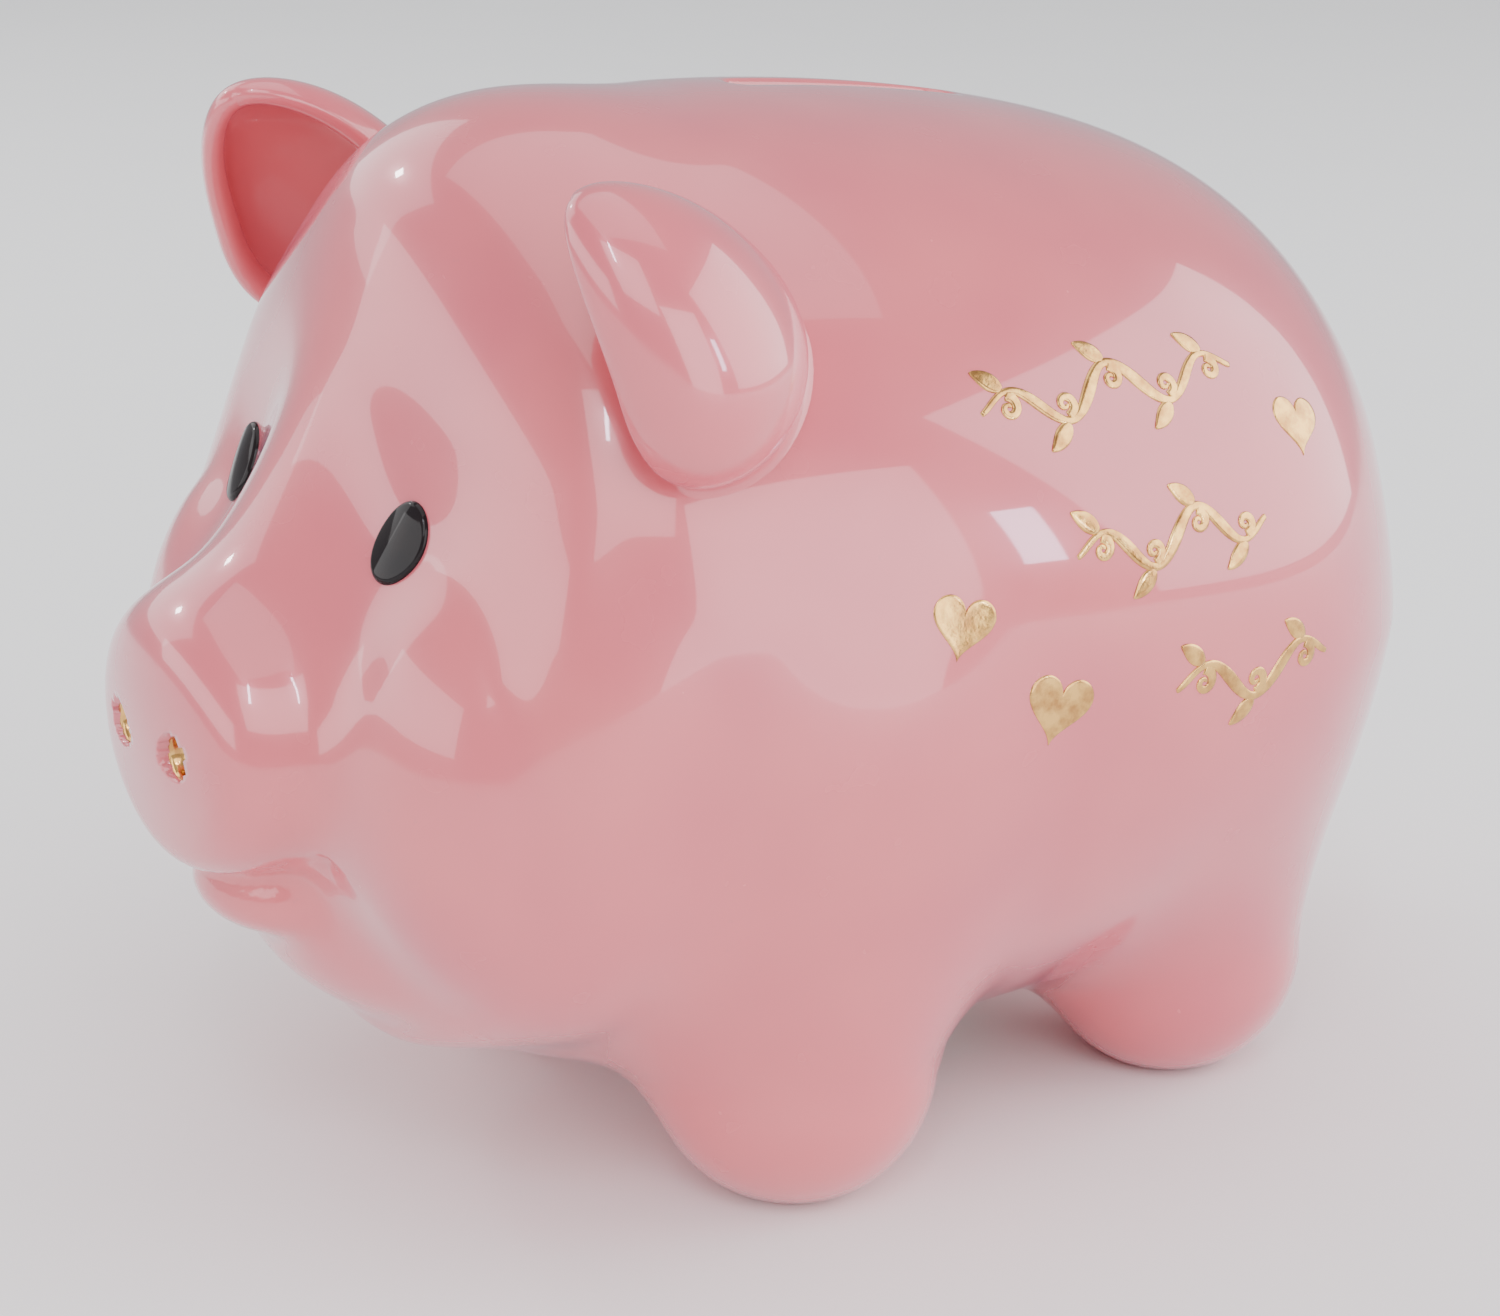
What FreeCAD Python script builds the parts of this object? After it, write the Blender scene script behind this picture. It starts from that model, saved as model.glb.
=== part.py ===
import FreeCAD, Part
import math
import os

# Pink ceramic pig coin bank, millimetres.
# The pig stands on z = 0 and looks along -Y; its left flank is on +X.
# x = 0 is the plane of symmetry, and the snout and the tail are equally far from y = 0.

doc = FreeCAD.newDocument("PigBank")
sheet = doc.addObject("Spreadsheet::Sheet", "Sizes")
Vector = FreeCAD.Vector

# Hoops of the body from snout to rump: place along Y, half width, top height, bottom height.
HOOPS = {
    "nose": (-90.0, 12.0, 74.5, 53.5),
    "muzzle": (-88.2, 18.0, 79.6, 47.8),
    "rim": (-84.0, 20.9, 82.2, 45.1),
    "snout": (-77.0, 21.3, 82.9, 44.8),
    "stop": (-68.2, 24.0, 85.6, 37.5),
    "face": (-63.6, 36.6, 103.9, 24.2),
    "brow": (-56.1, 49.6, 126.0, 19.8),
    "crown": (-31.8, 58.7, 137.7, 10.2),
    "shoulder": (-2.3, 63.8, 138.3, 7.6),
    "barrel": (25.5, 65.8, 134.8, 8.4),
    "haunch": (51.3, 61.4, 128.2, 14.0),
    "rump": (71.3, 45.2, 115.4, 29.4),
    "dock": (80.5, 28.0, 97.0, 47.0),
    "heel": (84.5, 9.0, 80.0, 64.0),
}

SIZES = {
    # casting
    "half_length": 90.0,
    "wall": 4.5,
    "film": 0.2,
    # cheeks and lower lip, as ellipsoids
    "cheek_across": 28.8, "cheek_along": -54.6, "cheek_up": 62.8,
    "cheek_wide": 20.2, "cheek_deep": 22.3, "cheek_tall": 30.7,
    "lip_along": -74.0, "lip_up": 41.0,
    "lip_wide": 15.5, "lip_deep": 11.0, "lip_tall": 7.5,
    # legs
    "foot_radius": 19.0, "leg_flare": 1.82, "leg_reach": 60.0, "leg_wall": 6.0,
    "foot_lift": 0.9, "lean_across": 0.8, "lean_along": 0.9,
    "fore_across": 33.4, "fore_along": -18.1,
    "hind_across": 31.5, "hind_along": 47.7,
    # coin slot in the back
    "slot_long": 35.0, "slot_wide": 5.0, "slot_along": 12.0, "slot_from": 98.3, "slot_deep": 60.0,
    # stopper well in the belly, and the rubber stopper
    "well_along": 14.0, "well_radius": 20.5, "well_roof": 13.0, "hole_radius": 16.0, "boss_top": 18.0,
    "flange_radius": 19.8, "flange_thick": 3.0, "stem_radius": 15.4, "bead_radius": 15.8,
    "bead_up": 18.6, "stem_top": 22.0, "stem_wall": 2.2, "grip_radius": 9.0, "grip_deep": 1.4,
    "stem_floor": 1.0, "bead_taper": 1.4,
    # ears: an egg-shaped leaf, dished on its forward side
    "ear_across": 46.9, "ear_along": -43.0, "ear_up": 121.3,
    "ear_half_length": 18.9, "ear_half_width": 14.6, "ear_half_thick": 10.2,
    "ear_taper": 0.42, "ear_curl": 4.1, "ear_shell": 3.2, "ear_rim": 3.5,
    # tail: one turn of a rising coil
    "tail_up": 86.0, "tail_along": 80.0, "tail_coil": 5.2, "tail_tube": 2.2, "tail_rise": 7.8,
    "tail_turns": 1.2,
    # eyes and nostrils
    "eye_across": 20.7, "eye_along": -64.4, "eye_up": 91.9,
    "eye_half_width": 4.4, "eye_half_height": 5.8, "eye_half_depth": 2.6,
    "nostril_across": 7.2, "nostril_up": 66.0, "nostril_radius": 2.4, "nostril_deep": 2.2,
    # gold ornament on the left flank
    "stroke": 1.8, "prism_from": 35.0, "prism_long": 40.0,
    # cutting tools reach past what they cut
    "reach": 200.0, "margin": 10.0,
}

# Gold hearts: place along Y, height, side of the square under the two lobes, turn in degrees.
HEARTS = {
    "front_heart": (-13.5, 83.0, 6.2, 18.0),
    "lower_heart": (-0.5, 71.0, 7.0, 14.0),
    "rear_heart": (43.0, 98.5, 6.2, 10.0),
}

# Gold waves: place of the first crest along Y, height, radius of each half turn, half turns.
WAVES = {
    "upper_wave": (-5.0, 108.0, 4.8, 5),
    "middle_wave": (9.0, 89.0, 4.4, 3),
    "lower_wave": (22.0, 69.0, 4.2, 3),
}

# The ear leans forward and its dish looks forward and inward.
EAR_TIPWARD = Vector(0.036, -0.517, 0.855)
EAR_FACING = Vector(-0.809, -0.518, -0.279)

# Places of the ear's sections, as shares of its half length from the middle.
EAR_SHARES = (-0.94, -0.7, -0.3, 0.1, 0.45, 0.72, 0.9, 0.98)

# A heart's middle lies this share of its square's side above the square's lowest corner.
HEART_MIDDLE = 0.9

# The way the glaze faces under the left eye.
EYE_OUTWARD = Vector(-0.082, -0.891, 0.446)

MIRROR_NORMAL = Vector(1, 0, 0)


def fill_sheet():
    """Write every driving dimension into the sheet under its alias."""
    cells = dict(SIZES)
    for name, values in HOOPS.items():
        for key, value in zip(("along", "half_width", "top", "bottom"), values):
            cells[name + "_" + key] = value
    for row, (alias, value) in enumerate(cells.items(), start=1):
        sheet.set("A%d" % row, alias.replace("_", " "))
        sheet.set("B%d" % row, str(value))
        sheet.setAlias("B%d" % row, alias)
    doc.recompute()


def add(kind, name, **expressions):
    """Add a document object and bind its properties to expressions of the sheet."""
    item = doc.addObject(kind, name)
    for prop, text in expressions.items():
        item.setExpression(prop.replace("__", "."), text)
    return item


def turn(x_axis, y_axis, z_axis):
    """Rotation that carries the world axes onto three perpendicular directions."""
    columns = [x_axis, y_axis, z_axis]
    rows = [[getattr(column, part) for column in columns] for part in "xyz"]
    return FreeCAD.Rotation(FreeCAD.Matrix(*(rows[0] + [0] + rows[1] + [0] + rows[2] + [0, 0, 0, 0, 1])))


def put(item, across="0", along="0", up="0", rotation=None):
    """Turn an item and bind its position to the sheet."""
    if rotation is not None:
        item.Placement = FreeCAD.Placement(Vector(0, 0, 0), rotation)
    item.setExpression("Placement.Base.x", across)
    item.setExpression("Placement.Base.y", along)
    item.setExpression("Placement.Base.z", up)
    return item


def cut(name, base, tool):
    """Base less tool."""
    item = doc.addObject("Part::Cut", name)
    item.Base = base
    item.Tool = tool
    return item


def common(name, base, tool):
    """What base and tool share."""
    item = doc.addObject("Part::Common", name)
    item.Base = base
    item.Tool = tool
    return item


def fuse(name, shapes):
    """All the shapes as one."""
    item = doc.addObject("Part::MultiFuse", name)
    item.Shapes = shapes
    return item


def mirrored(name, source):
    """The same piece on the other side of the plane of symmetry."""
    item = doc.addObject("Part::Mirroring", name)
    item.Source = source
    item.Base = Vector(0, 0, 0)
    item.Normal = MIRROR_NORMAL
    return item


def loft(name, sections):
    """Smooth solid through closed sections."""
    item = doc.addObject("Part::Loft", name)
    item.Sections = sections
    item.Solid = True
    item.Ruled = False
    return item


def hoop(prefix, name, grow, shrink_along):
    """One elliptic hoop of the body, grown by a thickness in its own plane."""
    along, half_width, top, bottom = HOOPS[name]
    wide = half_width > (top - bottom) / 2
    half_width_text = "Sizes.%s_half_width" % name
    half_height_text = "(Sizes.%s_top - Sizes.%s_bottom) / 2" % (name, name)
    major, minor = (half_width_text, half_height_text) if wide else (half_height_text, half_width_text)
    item = add(
        "Part::Ellipse",
        prefix + name,
        MajorRadius="%s + %s" % (major, grow),
        MinorRadius="%s + %s" % (minor, grow),
    )
    if wide:
        rotation = turn(Vector(1, 0, 0), Vector(0, 0, -1), Vector(0, 1, 0))
    else:
        rotation = turn(Vector(0, 0, 1), Vector(1, 0, 0), Vector(0, 1, 0))
    along_text = "Sizes.%s_along * (%s)" % (name, shrink_along)
    up_text = "(Sizes.%s_top + Sizes.%s_bottom) / 2" % (name, name)
    return put(item, along=along_text, up=up_text, rotation=rotation)


def body_loft(prefix, names, grow="0", shrink_along="1"):
    """Loft through the named hoops, each grown by the same thickness."""
    return loft(prefix + "form", [hoop(prefix, name, grow, shrink_along) for name in names])


def leg(prefix, side, across, along, radius, flare_base):
    """Round foot and flared leg, leaning in to the belly."""
    foot_text = "Sizes.foot_radius * Sizes.foot_lift"
    foot = add("Part::Sphere", prefix + "foot", Radius=radius)
    put(foot, "%d * Sizes.%s" % (side, across), "Sizes.%s" % along, foot_text)
    start = Vector(side * SIZES[across], SIZES[along], SIZES["foot_radius"] * SIZES["foot_lift"])
    end = Vector(start.x * SIZES["lean_across"], start.y * SIZES["lean_along"], SIZES["leg_reach"])
    shaft = add(
        "Part::Cone",
        prefix + "shaft",
        Radius1=radius,
        Radius2="%s * Sizes.leg_flare" % flare_base,
        Height="Sizes.leg_reach - %s" % foot_text,
    )
    lean = FreeCAD.Rotation(Vector(0, 0, 1), end - start)
    put(shaft, "%d * Sizes.%s" % (side, across), "Sizes.%s" % along, foot_text, lean)
    return [foot, shaft]


def legs(prefix, radius):
    """The four legs, outside or inside."""
    pieces = []
    for side, mark in ((1, "left_"), (-1, "right_")):
        pieces += leg(prefix + mark + "fore_", side, "fore_across", "fore_along", radius, radius)
        pieces += leg(prefix + mark + "hind_", side, "hind_across", "hind_along", radius, radius)
    return pieces


def ellipsoid(name, wide, deep, tall):
    """Ellipsoid with its half sizes along X, Y and Z."""
    return add("Part::Ellipsoid", name, Radius1=tall, Radius2=wide, Radius3=deep)


def outer_form():
    """Outside of the casting: body, cheeks, lip and legs, cut off flat at the soles."""
    pieces = [body_loft("skin_", list(HOOPS))]
    for side, mark in ((1, "left_"), (-1, "right_")):
        cheek = ellipsoid(mark + "cheek", "Sizes.cheek_wide", "Sizes.cheek_deep", "Sizes.cheek_tall")
        pieces.append(put(cheek, "%d * Sizes.cheek_across" % side, "Sizes.cheek_along", "Sizes.cheek_up"))
    lip = ellipsoid("lip", "Sizes.lip_wide", "Sizes.lip_deep", "Sizes.lip_tall")
    pieces.append(put(lip, "0", "Sizes.lip_along", "Sizes.lip_up"))
    pieces += legs("skin_", "Sizes.foot_radius")
    floor = add("Part::Box", "under_soles", Length="Sizes.reach", Width="Sizes.reach", Height="Sizes.reach")
    put(floor, "-Sizes.reach / 2", "-Sizes.reach / 2", "-Sizes.reach")
    return cut("outer_form", fuse("outer_pieces", pieces), floor)


def cavity():
    """Hollow of the casting, with the boss around the stopper hole left standing."""
    names = [name for name in HOOPS if name not in ("nose", "heel")]
    shrink = "1 - Sizes.wall / Sizes.half_length"
    hollow = [body_loft("hollow_", names, "-Sizes.wall", shrink)]
    hollow += legs("hollow_", "(Sizes.foot_radius - Sizes.leg_wall)")
    boss = add("Part::Cylinder", "boss", Radius="Sizes.well_radius + Sizes.wall", Height="Sizes.boss_top")
    put(boss, along="Sizes.well_along")
    return cut("cavity", fuse("hollow_pieces", hollow), boss)


def coin_slot():
    """Slot with round ends, straight down through the back."""
    bar = add(
        "Part::Box",
        "slot_bar",
        Length="Sizes.slot_wide",
        Width="Sizes.slot_long - Sizes.slot_wide",
        Height="Sizes.slot_deep",
    )
    reach = "(Sizes.slot_long - Sizes.slot_wide) / 2"
    put(bar, "-Sizes.slot_wide / 2", "Sizes.slot_along - " + reach, "Sizes.slot_from")
    ends = []
    for sign, mark in (("-", "fore"), ("+", "hind")):
        end = add("Part::Cylinder", "slot_" + mark, Radius="Sizes.slot_wide / 2", Height="Sizes.slot_deep")
        along = "Sizes.slot_along %s %s" % (sign, reach)
        ends.append(put(end, along=along, up="Sizes.slot_from"))
    return fuse("slot_cutter", [bar] + ends)


def stopper_opening():
    """Well in the belly and the round hole above it."""
    well = add("Part::Cylinder", "well", Radius="Sizes.well_radius", Height="Sizes.well_roof")
    hole = add("Part::Cylinder", "hole", Radius="Sizes.hole_radius", Height="Sizes.boss_top + Sizes.margin")
    return fuse("stopper_opening", [put(item, along="Sizes.well_along") for item in (well, hole)])


def nostril_form(name, side, shrink="0"):
    """Rounded dimple in the face of the snout, less a film of gold."""
    deep = "Sizes.nostril_deep - " + shrink
    round_text = "Sizes.nostril_radius - " + shrink
    item = ellipsoid(name, round_text, deep, round_text)
    return put(item, "%d * Sizes.nostril_across" % side, "Sizes.nose_along", "Sizes.nostril_up")


def make_nostril(label, side):
    """Gold lining of one nostril dimple."""
    within = common(label + "_within", body_loft(label + "_", ["nose", "muzzle", "rim", "snout"]),
                    nostril_form(label + "_cup", side))
    lining = cut(label, within, nostril_form(label + "_air", side, "2 * Sizes.film"))
    return lining


def make_body(outer):
    """Hollow ceramic body with its slot, stopper opening and nostril dimples."""
    shell = cut("shell", outer, cavity())
    openings = [coin_slot(), stopper_opening()]
    openings += [nostril_form(mark + "dimple", side) for side, mark in ((1, "left_"), (-1, "right_"))]
    return cut("body_shell", shell, fuse("openings", openings))


def ear_section(prefix, share, shrink):
    """One elliptic section of the ear leaf, at a share of its half length."""
    girth = math.sqrt(1 - share * share) * (1 - SIZES["ear_taper"] * share)
    item = add(
        "Part::Ellipse",
        "%ssection" % prefix,
        MajorRadius="(Sizes.ear_half_width - %s) * %.6f" % (shrink, girth),
        MinorRadius="(Sizes.ear_half_thick - %s) * %.6f" % (shrink, girth),
    )
    curl = "Sizes.ear_curl * %.6f" % (max(share, 0) ** 2)
    return put(item, along=curl, up="(Sizes.ear_half_length - %s) * %s" % (shrink, share))


def ear_leaf(prefix, shrink):
    """Egg-shaped leaf in the ear's own axes: X across, Y the way it faces, Z to the tip."""
    return loft(prefix + "leaf", [ear_section(prefix, share, shrink) for share in EAR_SHARES])


def make_ear(outer):
    """Left ear: a dished leaf, luted to the head where it meets the outside of the body."""
    front = add("Part::Box", "ear_front", Length="Sizes.reach", Width="Sizes.reach", Height="Sizes.reach")
    put(front, "-Sizes.reach / 2", "Sizes.ear_rim", "-Sizes.reach / 2")
    across = EAR_FACING.cross(EAR_TIPWARD).normalize()
    rotation = turn(across, EAR_TIPWARD.cross(across).normalize(), EAR_TIPWARD.normalize())
    leaf = ear_leaf("ear_", "0")
    scoop = fuse("ear_scoop", [ear_leaf("ear_dish_", "Sizes.ear_shell"), front])
    for item in (leaf, scoop):
        put(item, "Sizes.ear_across", "Sizes.ear_along", "Sizes.ear_up", rotation)
    return cut("left_ear", cut("ear_proud", leaf, outer), scoop)


def make_tail(outer):
    """Curled tail: a round tube along one rising turn, luted to the rump."""
    path = add(
        "Part::Helix",
        "tail_path",
        Radius="Sizes.tail_coil",
        Pitch="Sizes.tail_rise / Sizes.tail_turns",
        Height="Sizes.tail_rise",
    )
    facing_back = FreeCAD.Rotation(Vector(0, 0, 1), Vector(0, 1, 0))
    tube = add("Part::Circle", "tail_section", Radius="Sizes.tail_tube")
    put(tube, across="Sizes.tail_coil", rotation=FreeCAD.Rotation(Vector(1, 0, 0), 90))
    sweep = doc.addObject("Part::Sweep", "tail_coil_form")
    sweep.Sections = [tube]
    sweep.Spine = path
    sweep.Solid = True
    sweep.Frenet = True
    put(sweep, along="Sizes.tail_along", up="Sizes.tail_up", rotation=facing_back)
    return cut("tail", sweep, outer)


def make_eye(outer):
    """Left eye: a raised drop of black enamel on the glaze."""
    drop = ellipsoid("eye_drop", "Sizes.eye_half_width", "Sizes.eye_half_depth", "Sizes.eye_half_height")
    sideways = Vector(0, 0, 1).cross(EYE_OUTWARD).normalize()
    upward = EYE_OUTWARD.cross(sideways).normalize()
    rotation = turn(sideways, upward.cross(sideways).normalize(), upward)
    put(drop, "Sizes.eye_across", "Sizes.eye_along", "Sizes.eye_up", rotation)
    return cut("left_eye", drop, outer)


def heart_prism(name, along, up, side, angle):
    """Heart outline pushed through the flank: a square on its corner and two round lobes."""
    square = add("Part::Box", name + "_square", Length=str(side), Width=str(side), Height="Sizes.prism_long")
    lobes = []
    for mark, (x, y) in (("_fore_lobe", (side / 2, side)), ("_hind_lobe", (side, side / 2))):
        lobe = add("Part::Cylinder", name + mark, Radius=str(side / 2), Height="Sizes.prism_long")
        lobes.append(put(lobe, str(x), str(y)))
    prism = fuse(name + "_prism", [square] + lobes)
    outward = FreeCAD.Rotation(Vector(1, 0, 0), 90 + angle).multiply(FreeCAD.Rotation(Vector(0, 1, 0), 90))
    outward = outward.multiply(FreeCAD.Rotation(Vector(0, 0, 1), 45 - 90))
    return put(prism, "Sizes.prism_from", str(along), "%s - %s" % (up, side * HEART_MIDDLE), outward)


def wave_prism(name, along, up, radius, count):
    """Wavy ribbon of half rings pushed through the flank."""
    arcs = []
    for index in range(count):
        ring = "%s_ring_%d" % (name, index)
        wide = "%s + Sizes.stroke / 2" % radius
        narrow = "%s - Sizes.stroke / 2" % radius
        outer = add("Part::Cylinder", ring + "_out", Radius=wide, Height="Sizes.prism_long")
        inner = add("Part::Cylinder", ring + "_in", Radius=narrow, Height="Sizes.prism_long")
        outer.Angle = 180
        turned = FreeCAD.Rotation(Vector(0, 0, 1), 180 if index % 2 else 0)
        arc = cut(ring, put(outer, rotation=turned), inner)
        arcs.append(put(arc, str(2 * radius * index)))
    ribbon = fuse(name + "_prism", arcs)
    outward = turn(Vector(0, 1, 0), Vector(0, 0, 1), Vector(1, 0, 0))
    return put(ribbon, "Sizes.prism_from", str(along), str(up), outward)


def gold_film(names_and_prisms):
    """Thin films of gold on the flank, one under each prism."""
    gilt = body_loft("gilt_", list(HOOPS), "Sizes.film")
    skin = body_loft("bare_", list(HOOPS))
    layer = cut("film_layer", gilt, skin)
    return [common(name, layer, prism) for name, prism in names_and_prisms]


def make_stopper():
    """Soft stopper: flange in the well, hollow stem through the hole, bead above it."""
    bottom = "Sizes.well_roof - Sizes.flange_thick"
    flange = add("Part::Cylinder", "flange", Radius="Sizes.flange_radius", Height="Sizes.flange_thick")
    stem = add("Part::Cylinder", "stem", Radius="Sizes.stem_radius", Height="Sizes.bead_up - Sizes.well_roof")
    bead = add(
        "Part::Cone",
        "bead",
        Radius1="Sizes.bead_radius",
        Radius2="Sizes.bead_radius - Sizes.bead_taper",
        Height="Sizes.stem_top - Sizes.bead_up",
    )
    within = "Sizes.stem_radius - Sizes.stem_wall"
    hollow = add("Part::Cylinder", "stem_hollow", Radius=within, Height="Sizes.reach")
    grip = add("Part::Cylinder", "grip", Radius="Sizes.grip_radius", Height="Sizes.grip_deep + Sizes.margin")
    put(flange, along="Sizes.well_along", up=bottom)
    put(stem, along="Sizes.well_along", up="Sizes.well_roof")
    put(bead, along="Sizes.well_along", up="Sizes.bead_up")
    put(hollow, along="Sizes.well_along", up="Sizes.well_roof + Sizes.stem_floor")
    put(grip, along="Sizes.well_along", up=bottom + " - Sizes.margin")
    return cut("stopper", fuse("stopper_form", [flange, stem, bead]), fuse("stopper_hollows", [hollow, grip]))


def check_and_export(parts):
    """Stop on any failed object, then write one file for each part."""
    doc.recompute()
    failed = [item.Name for item in doc.Objects if {"Invalid", "Error"} & set(item.State)]
    if failed:
        raise RuntimeError("failed objects: %s" % failed)
    for name, item in parts.items():
        shape = item.Shape
        if shape.isNull() or not shape.isValid() or not shape.Solids:
            raise RuntimeError("%s is not a valid solid" % name)
    os.makedirs("parts", exist_ok=True)
    for name, item in parts.items():
        item.Shape.exportStep("parts/%s.step" % name)
        print("%-14s %8.1f mm3, %d solid" % (name, item.Shape.Volume, len(item.Shape.Solids)))


def main():
    """Build every sub-part and write it out."""
    fill_sheet()
    outer = outer_form()
    parts = {"body_shell": make_body(outer)}
    parts["left_ear"] = make_ear(outer)
    parts["right_ear"] = mirrored("right_ear", parts["left_ear"])
    parts["tail"] = make_tail(outer)
    parts["stopper"] = make_stopper()
    parts["left_eye"] = make_eye(outer)
    parts["right_eye"] = mirrored("right_eye", parts["left_eye"])
    parts["left_nostril"] = make_nostril("left_nostril", 1)
    parts["right_nostril"] = make_nostril("right_nostril", -1)
    prisms = [(name, heart_prism(name, *values)) for name, values in HEARTS.items()]
    prisms += [(name, wave_prism(name, *values)) for name, values in WAVES.items()]
    for item in gold_film(prisms):
        parts[item.Name] = item
    for name, item in parts.items():
        item.Label = name
    check_and_export(parts)


main()
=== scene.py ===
"""Looks of the pink ceramic pig coin bank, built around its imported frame.

Shapes are worked out in millimetres in the frame's own axes: the pig stands on z = 0, looks along
-Y and has its left flank on +X. Meshes are written in metres.
"""
import logging
import math
from dataclasses import dataclass, field
from enum import Enum
from functools import cached_property
from typing import Callable, Optional, Sequence

import bmesh
import bpy
import numpy as np
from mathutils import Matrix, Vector


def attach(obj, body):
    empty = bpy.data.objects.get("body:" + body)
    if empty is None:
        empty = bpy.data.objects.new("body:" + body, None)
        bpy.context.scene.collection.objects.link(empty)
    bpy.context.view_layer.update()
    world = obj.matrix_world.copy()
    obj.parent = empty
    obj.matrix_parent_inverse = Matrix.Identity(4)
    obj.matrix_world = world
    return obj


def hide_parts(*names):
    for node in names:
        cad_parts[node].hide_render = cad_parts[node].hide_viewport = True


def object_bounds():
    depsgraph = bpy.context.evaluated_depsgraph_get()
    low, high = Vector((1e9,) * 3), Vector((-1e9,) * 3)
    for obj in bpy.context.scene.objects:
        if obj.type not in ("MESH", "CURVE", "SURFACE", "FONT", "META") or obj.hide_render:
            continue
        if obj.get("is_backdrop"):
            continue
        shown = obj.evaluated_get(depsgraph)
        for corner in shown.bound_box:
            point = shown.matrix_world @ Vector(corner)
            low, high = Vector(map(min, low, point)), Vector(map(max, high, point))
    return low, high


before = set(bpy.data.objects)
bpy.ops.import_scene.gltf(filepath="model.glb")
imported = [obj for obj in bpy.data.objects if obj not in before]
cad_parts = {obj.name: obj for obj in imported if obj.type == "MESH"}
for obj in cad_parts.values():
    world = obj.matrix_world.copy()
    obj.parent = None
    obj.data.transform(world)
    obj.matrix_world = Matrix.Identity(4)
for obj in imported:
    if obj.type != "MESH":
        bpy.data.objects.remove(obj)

MM = 0.001
BODY = "bank"
PLUG_BODY = "stopper"
LOG = logging.getLogger("pig_bank")
Array = np.ndarray
NEARLY_ZERO = 1e-12
LEAST_SLOPE = 1e-9
TINY = 1e-6
Line = Callable[[Array], Array]
Socket = bpy.types.NodeSocket


# --------------------------------------------------------------------------- small mathematics


def unit(vector: Array) -> Array:
    """Vectors scaled to length one along the last axis."""
    return vector / np.maximum(np.linalg.norm(vector, axis=-1, keepdims=True), NEARLY_ZERO)


def soft_min(a: Array, b: Array, width: float) -> Array:
    """Smaller of two fields, rounded where they differ by less than a width.

    Formula: min(a, b) less the square of what remains of the width, over four widths.

    Args:
        a: First field, in millimetres.
        b: Second field.
        width: Difference at which the rounding starts.

    Returns:
        The blended field.
    """
    overlap = np.maximum(width - np.abs(a - b), 0.0)
    return np.minimum(a, b) - overlap * overlap / (4.0 * width)


def soft_max(a: Array, b: Array, width: float) -> Array:
    """Larger of two fields, rounded like soft_min."""
    return -soft_min(-a, -b, width)


def ellipsoid_distance(points: Array, centre: Sequence[float], radii: Sequence[float]) -> Array:
    """Near distance to an ellipsoid: k (k - 1) / |gradient|, where k is the scaled radius.

    Args:
        points: Points, three numbers in the last axis.
        centre: Centre of the ellipsoid.
        radii: Its three half sizes.

    Returns:
        Distance, negative inside.
    """
    scaled = (points - np.array(centre)) / np.array(radii)
    k = np.linalg.norm(scaled, axis=-1)
    slope = np.linalg.norm(scaled / np.array(radii), axis=-1)
    return k * (k - 1.0) / (slope + LEAST_SLOPE)


def natural_spline(knots: Array, values: Array, at: Array) -> Array:
    """Natural cubic spline through rows of values.

    Formula: second derivatives solve the usual tridiagonal system with zero ends, and each span is
    the cubic that they and the two end values give.

    Args:
        knots: Rising parameter of each row.
        values: One row of values for each knot.
        at: Parameters to evaluate, any shape.

    Returns:
        Values at those parameters, with the columns in the last axis.
    """
    step = np.diff(knots)
    count = len(knots)
    inner = np.arange(1, count - 1)
    system = np.zeros((count, count))
    right = np.zeros_like(values)
    system[0, 0] = system[-1, -1] = 1.0
    system[inner, inner - 1] = step[inner - 1]
    system[inner, inner] = 2.0 * (step[inner - 1] + step[inner])
    system[inner, inner + 1] = step[inner]
    slopes = np.diff(values, axis=0) / step[:, None]
    right[inner] = 6.0 * (slopes[inner] - slopes[inner - 1])
    bend = np.linalg.solve(system, right)
    span = np.clip(np.searchsorted(knots, at, side="right") - 1, 0, count - 2)
    width = step[span][..., None]
    after = (at - knots[span])[..., None]
    before = width - after
    ends = (values[span] / width - bend[span] * width / 6.0) * before
    ends += (values[span + 1] / width - bend[span + 1] * width / 6.0) * after
    return ends + (bend[span] * before**3 + bend[span + 1] * after**3) / (6.0 * width)


def lines(*stretches: tuple[float, float, int]) -> Array:
    """Evenly divided stretches joined end to end.

    Args:
        stretches: Start, end and number of steps of each stretch; each starts where the last ends.

    Returns:
        The rising positions of every line, with shared ends given once.
    """
    pieces = [np.linspace(start, end, steps + 1)[:-1] for start, end, steps in stretches]
    return np.concatenate(pieces + [np.array([stretches[-1][1]])])


# --------------------------------------------------------------------------- meshes


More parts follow.
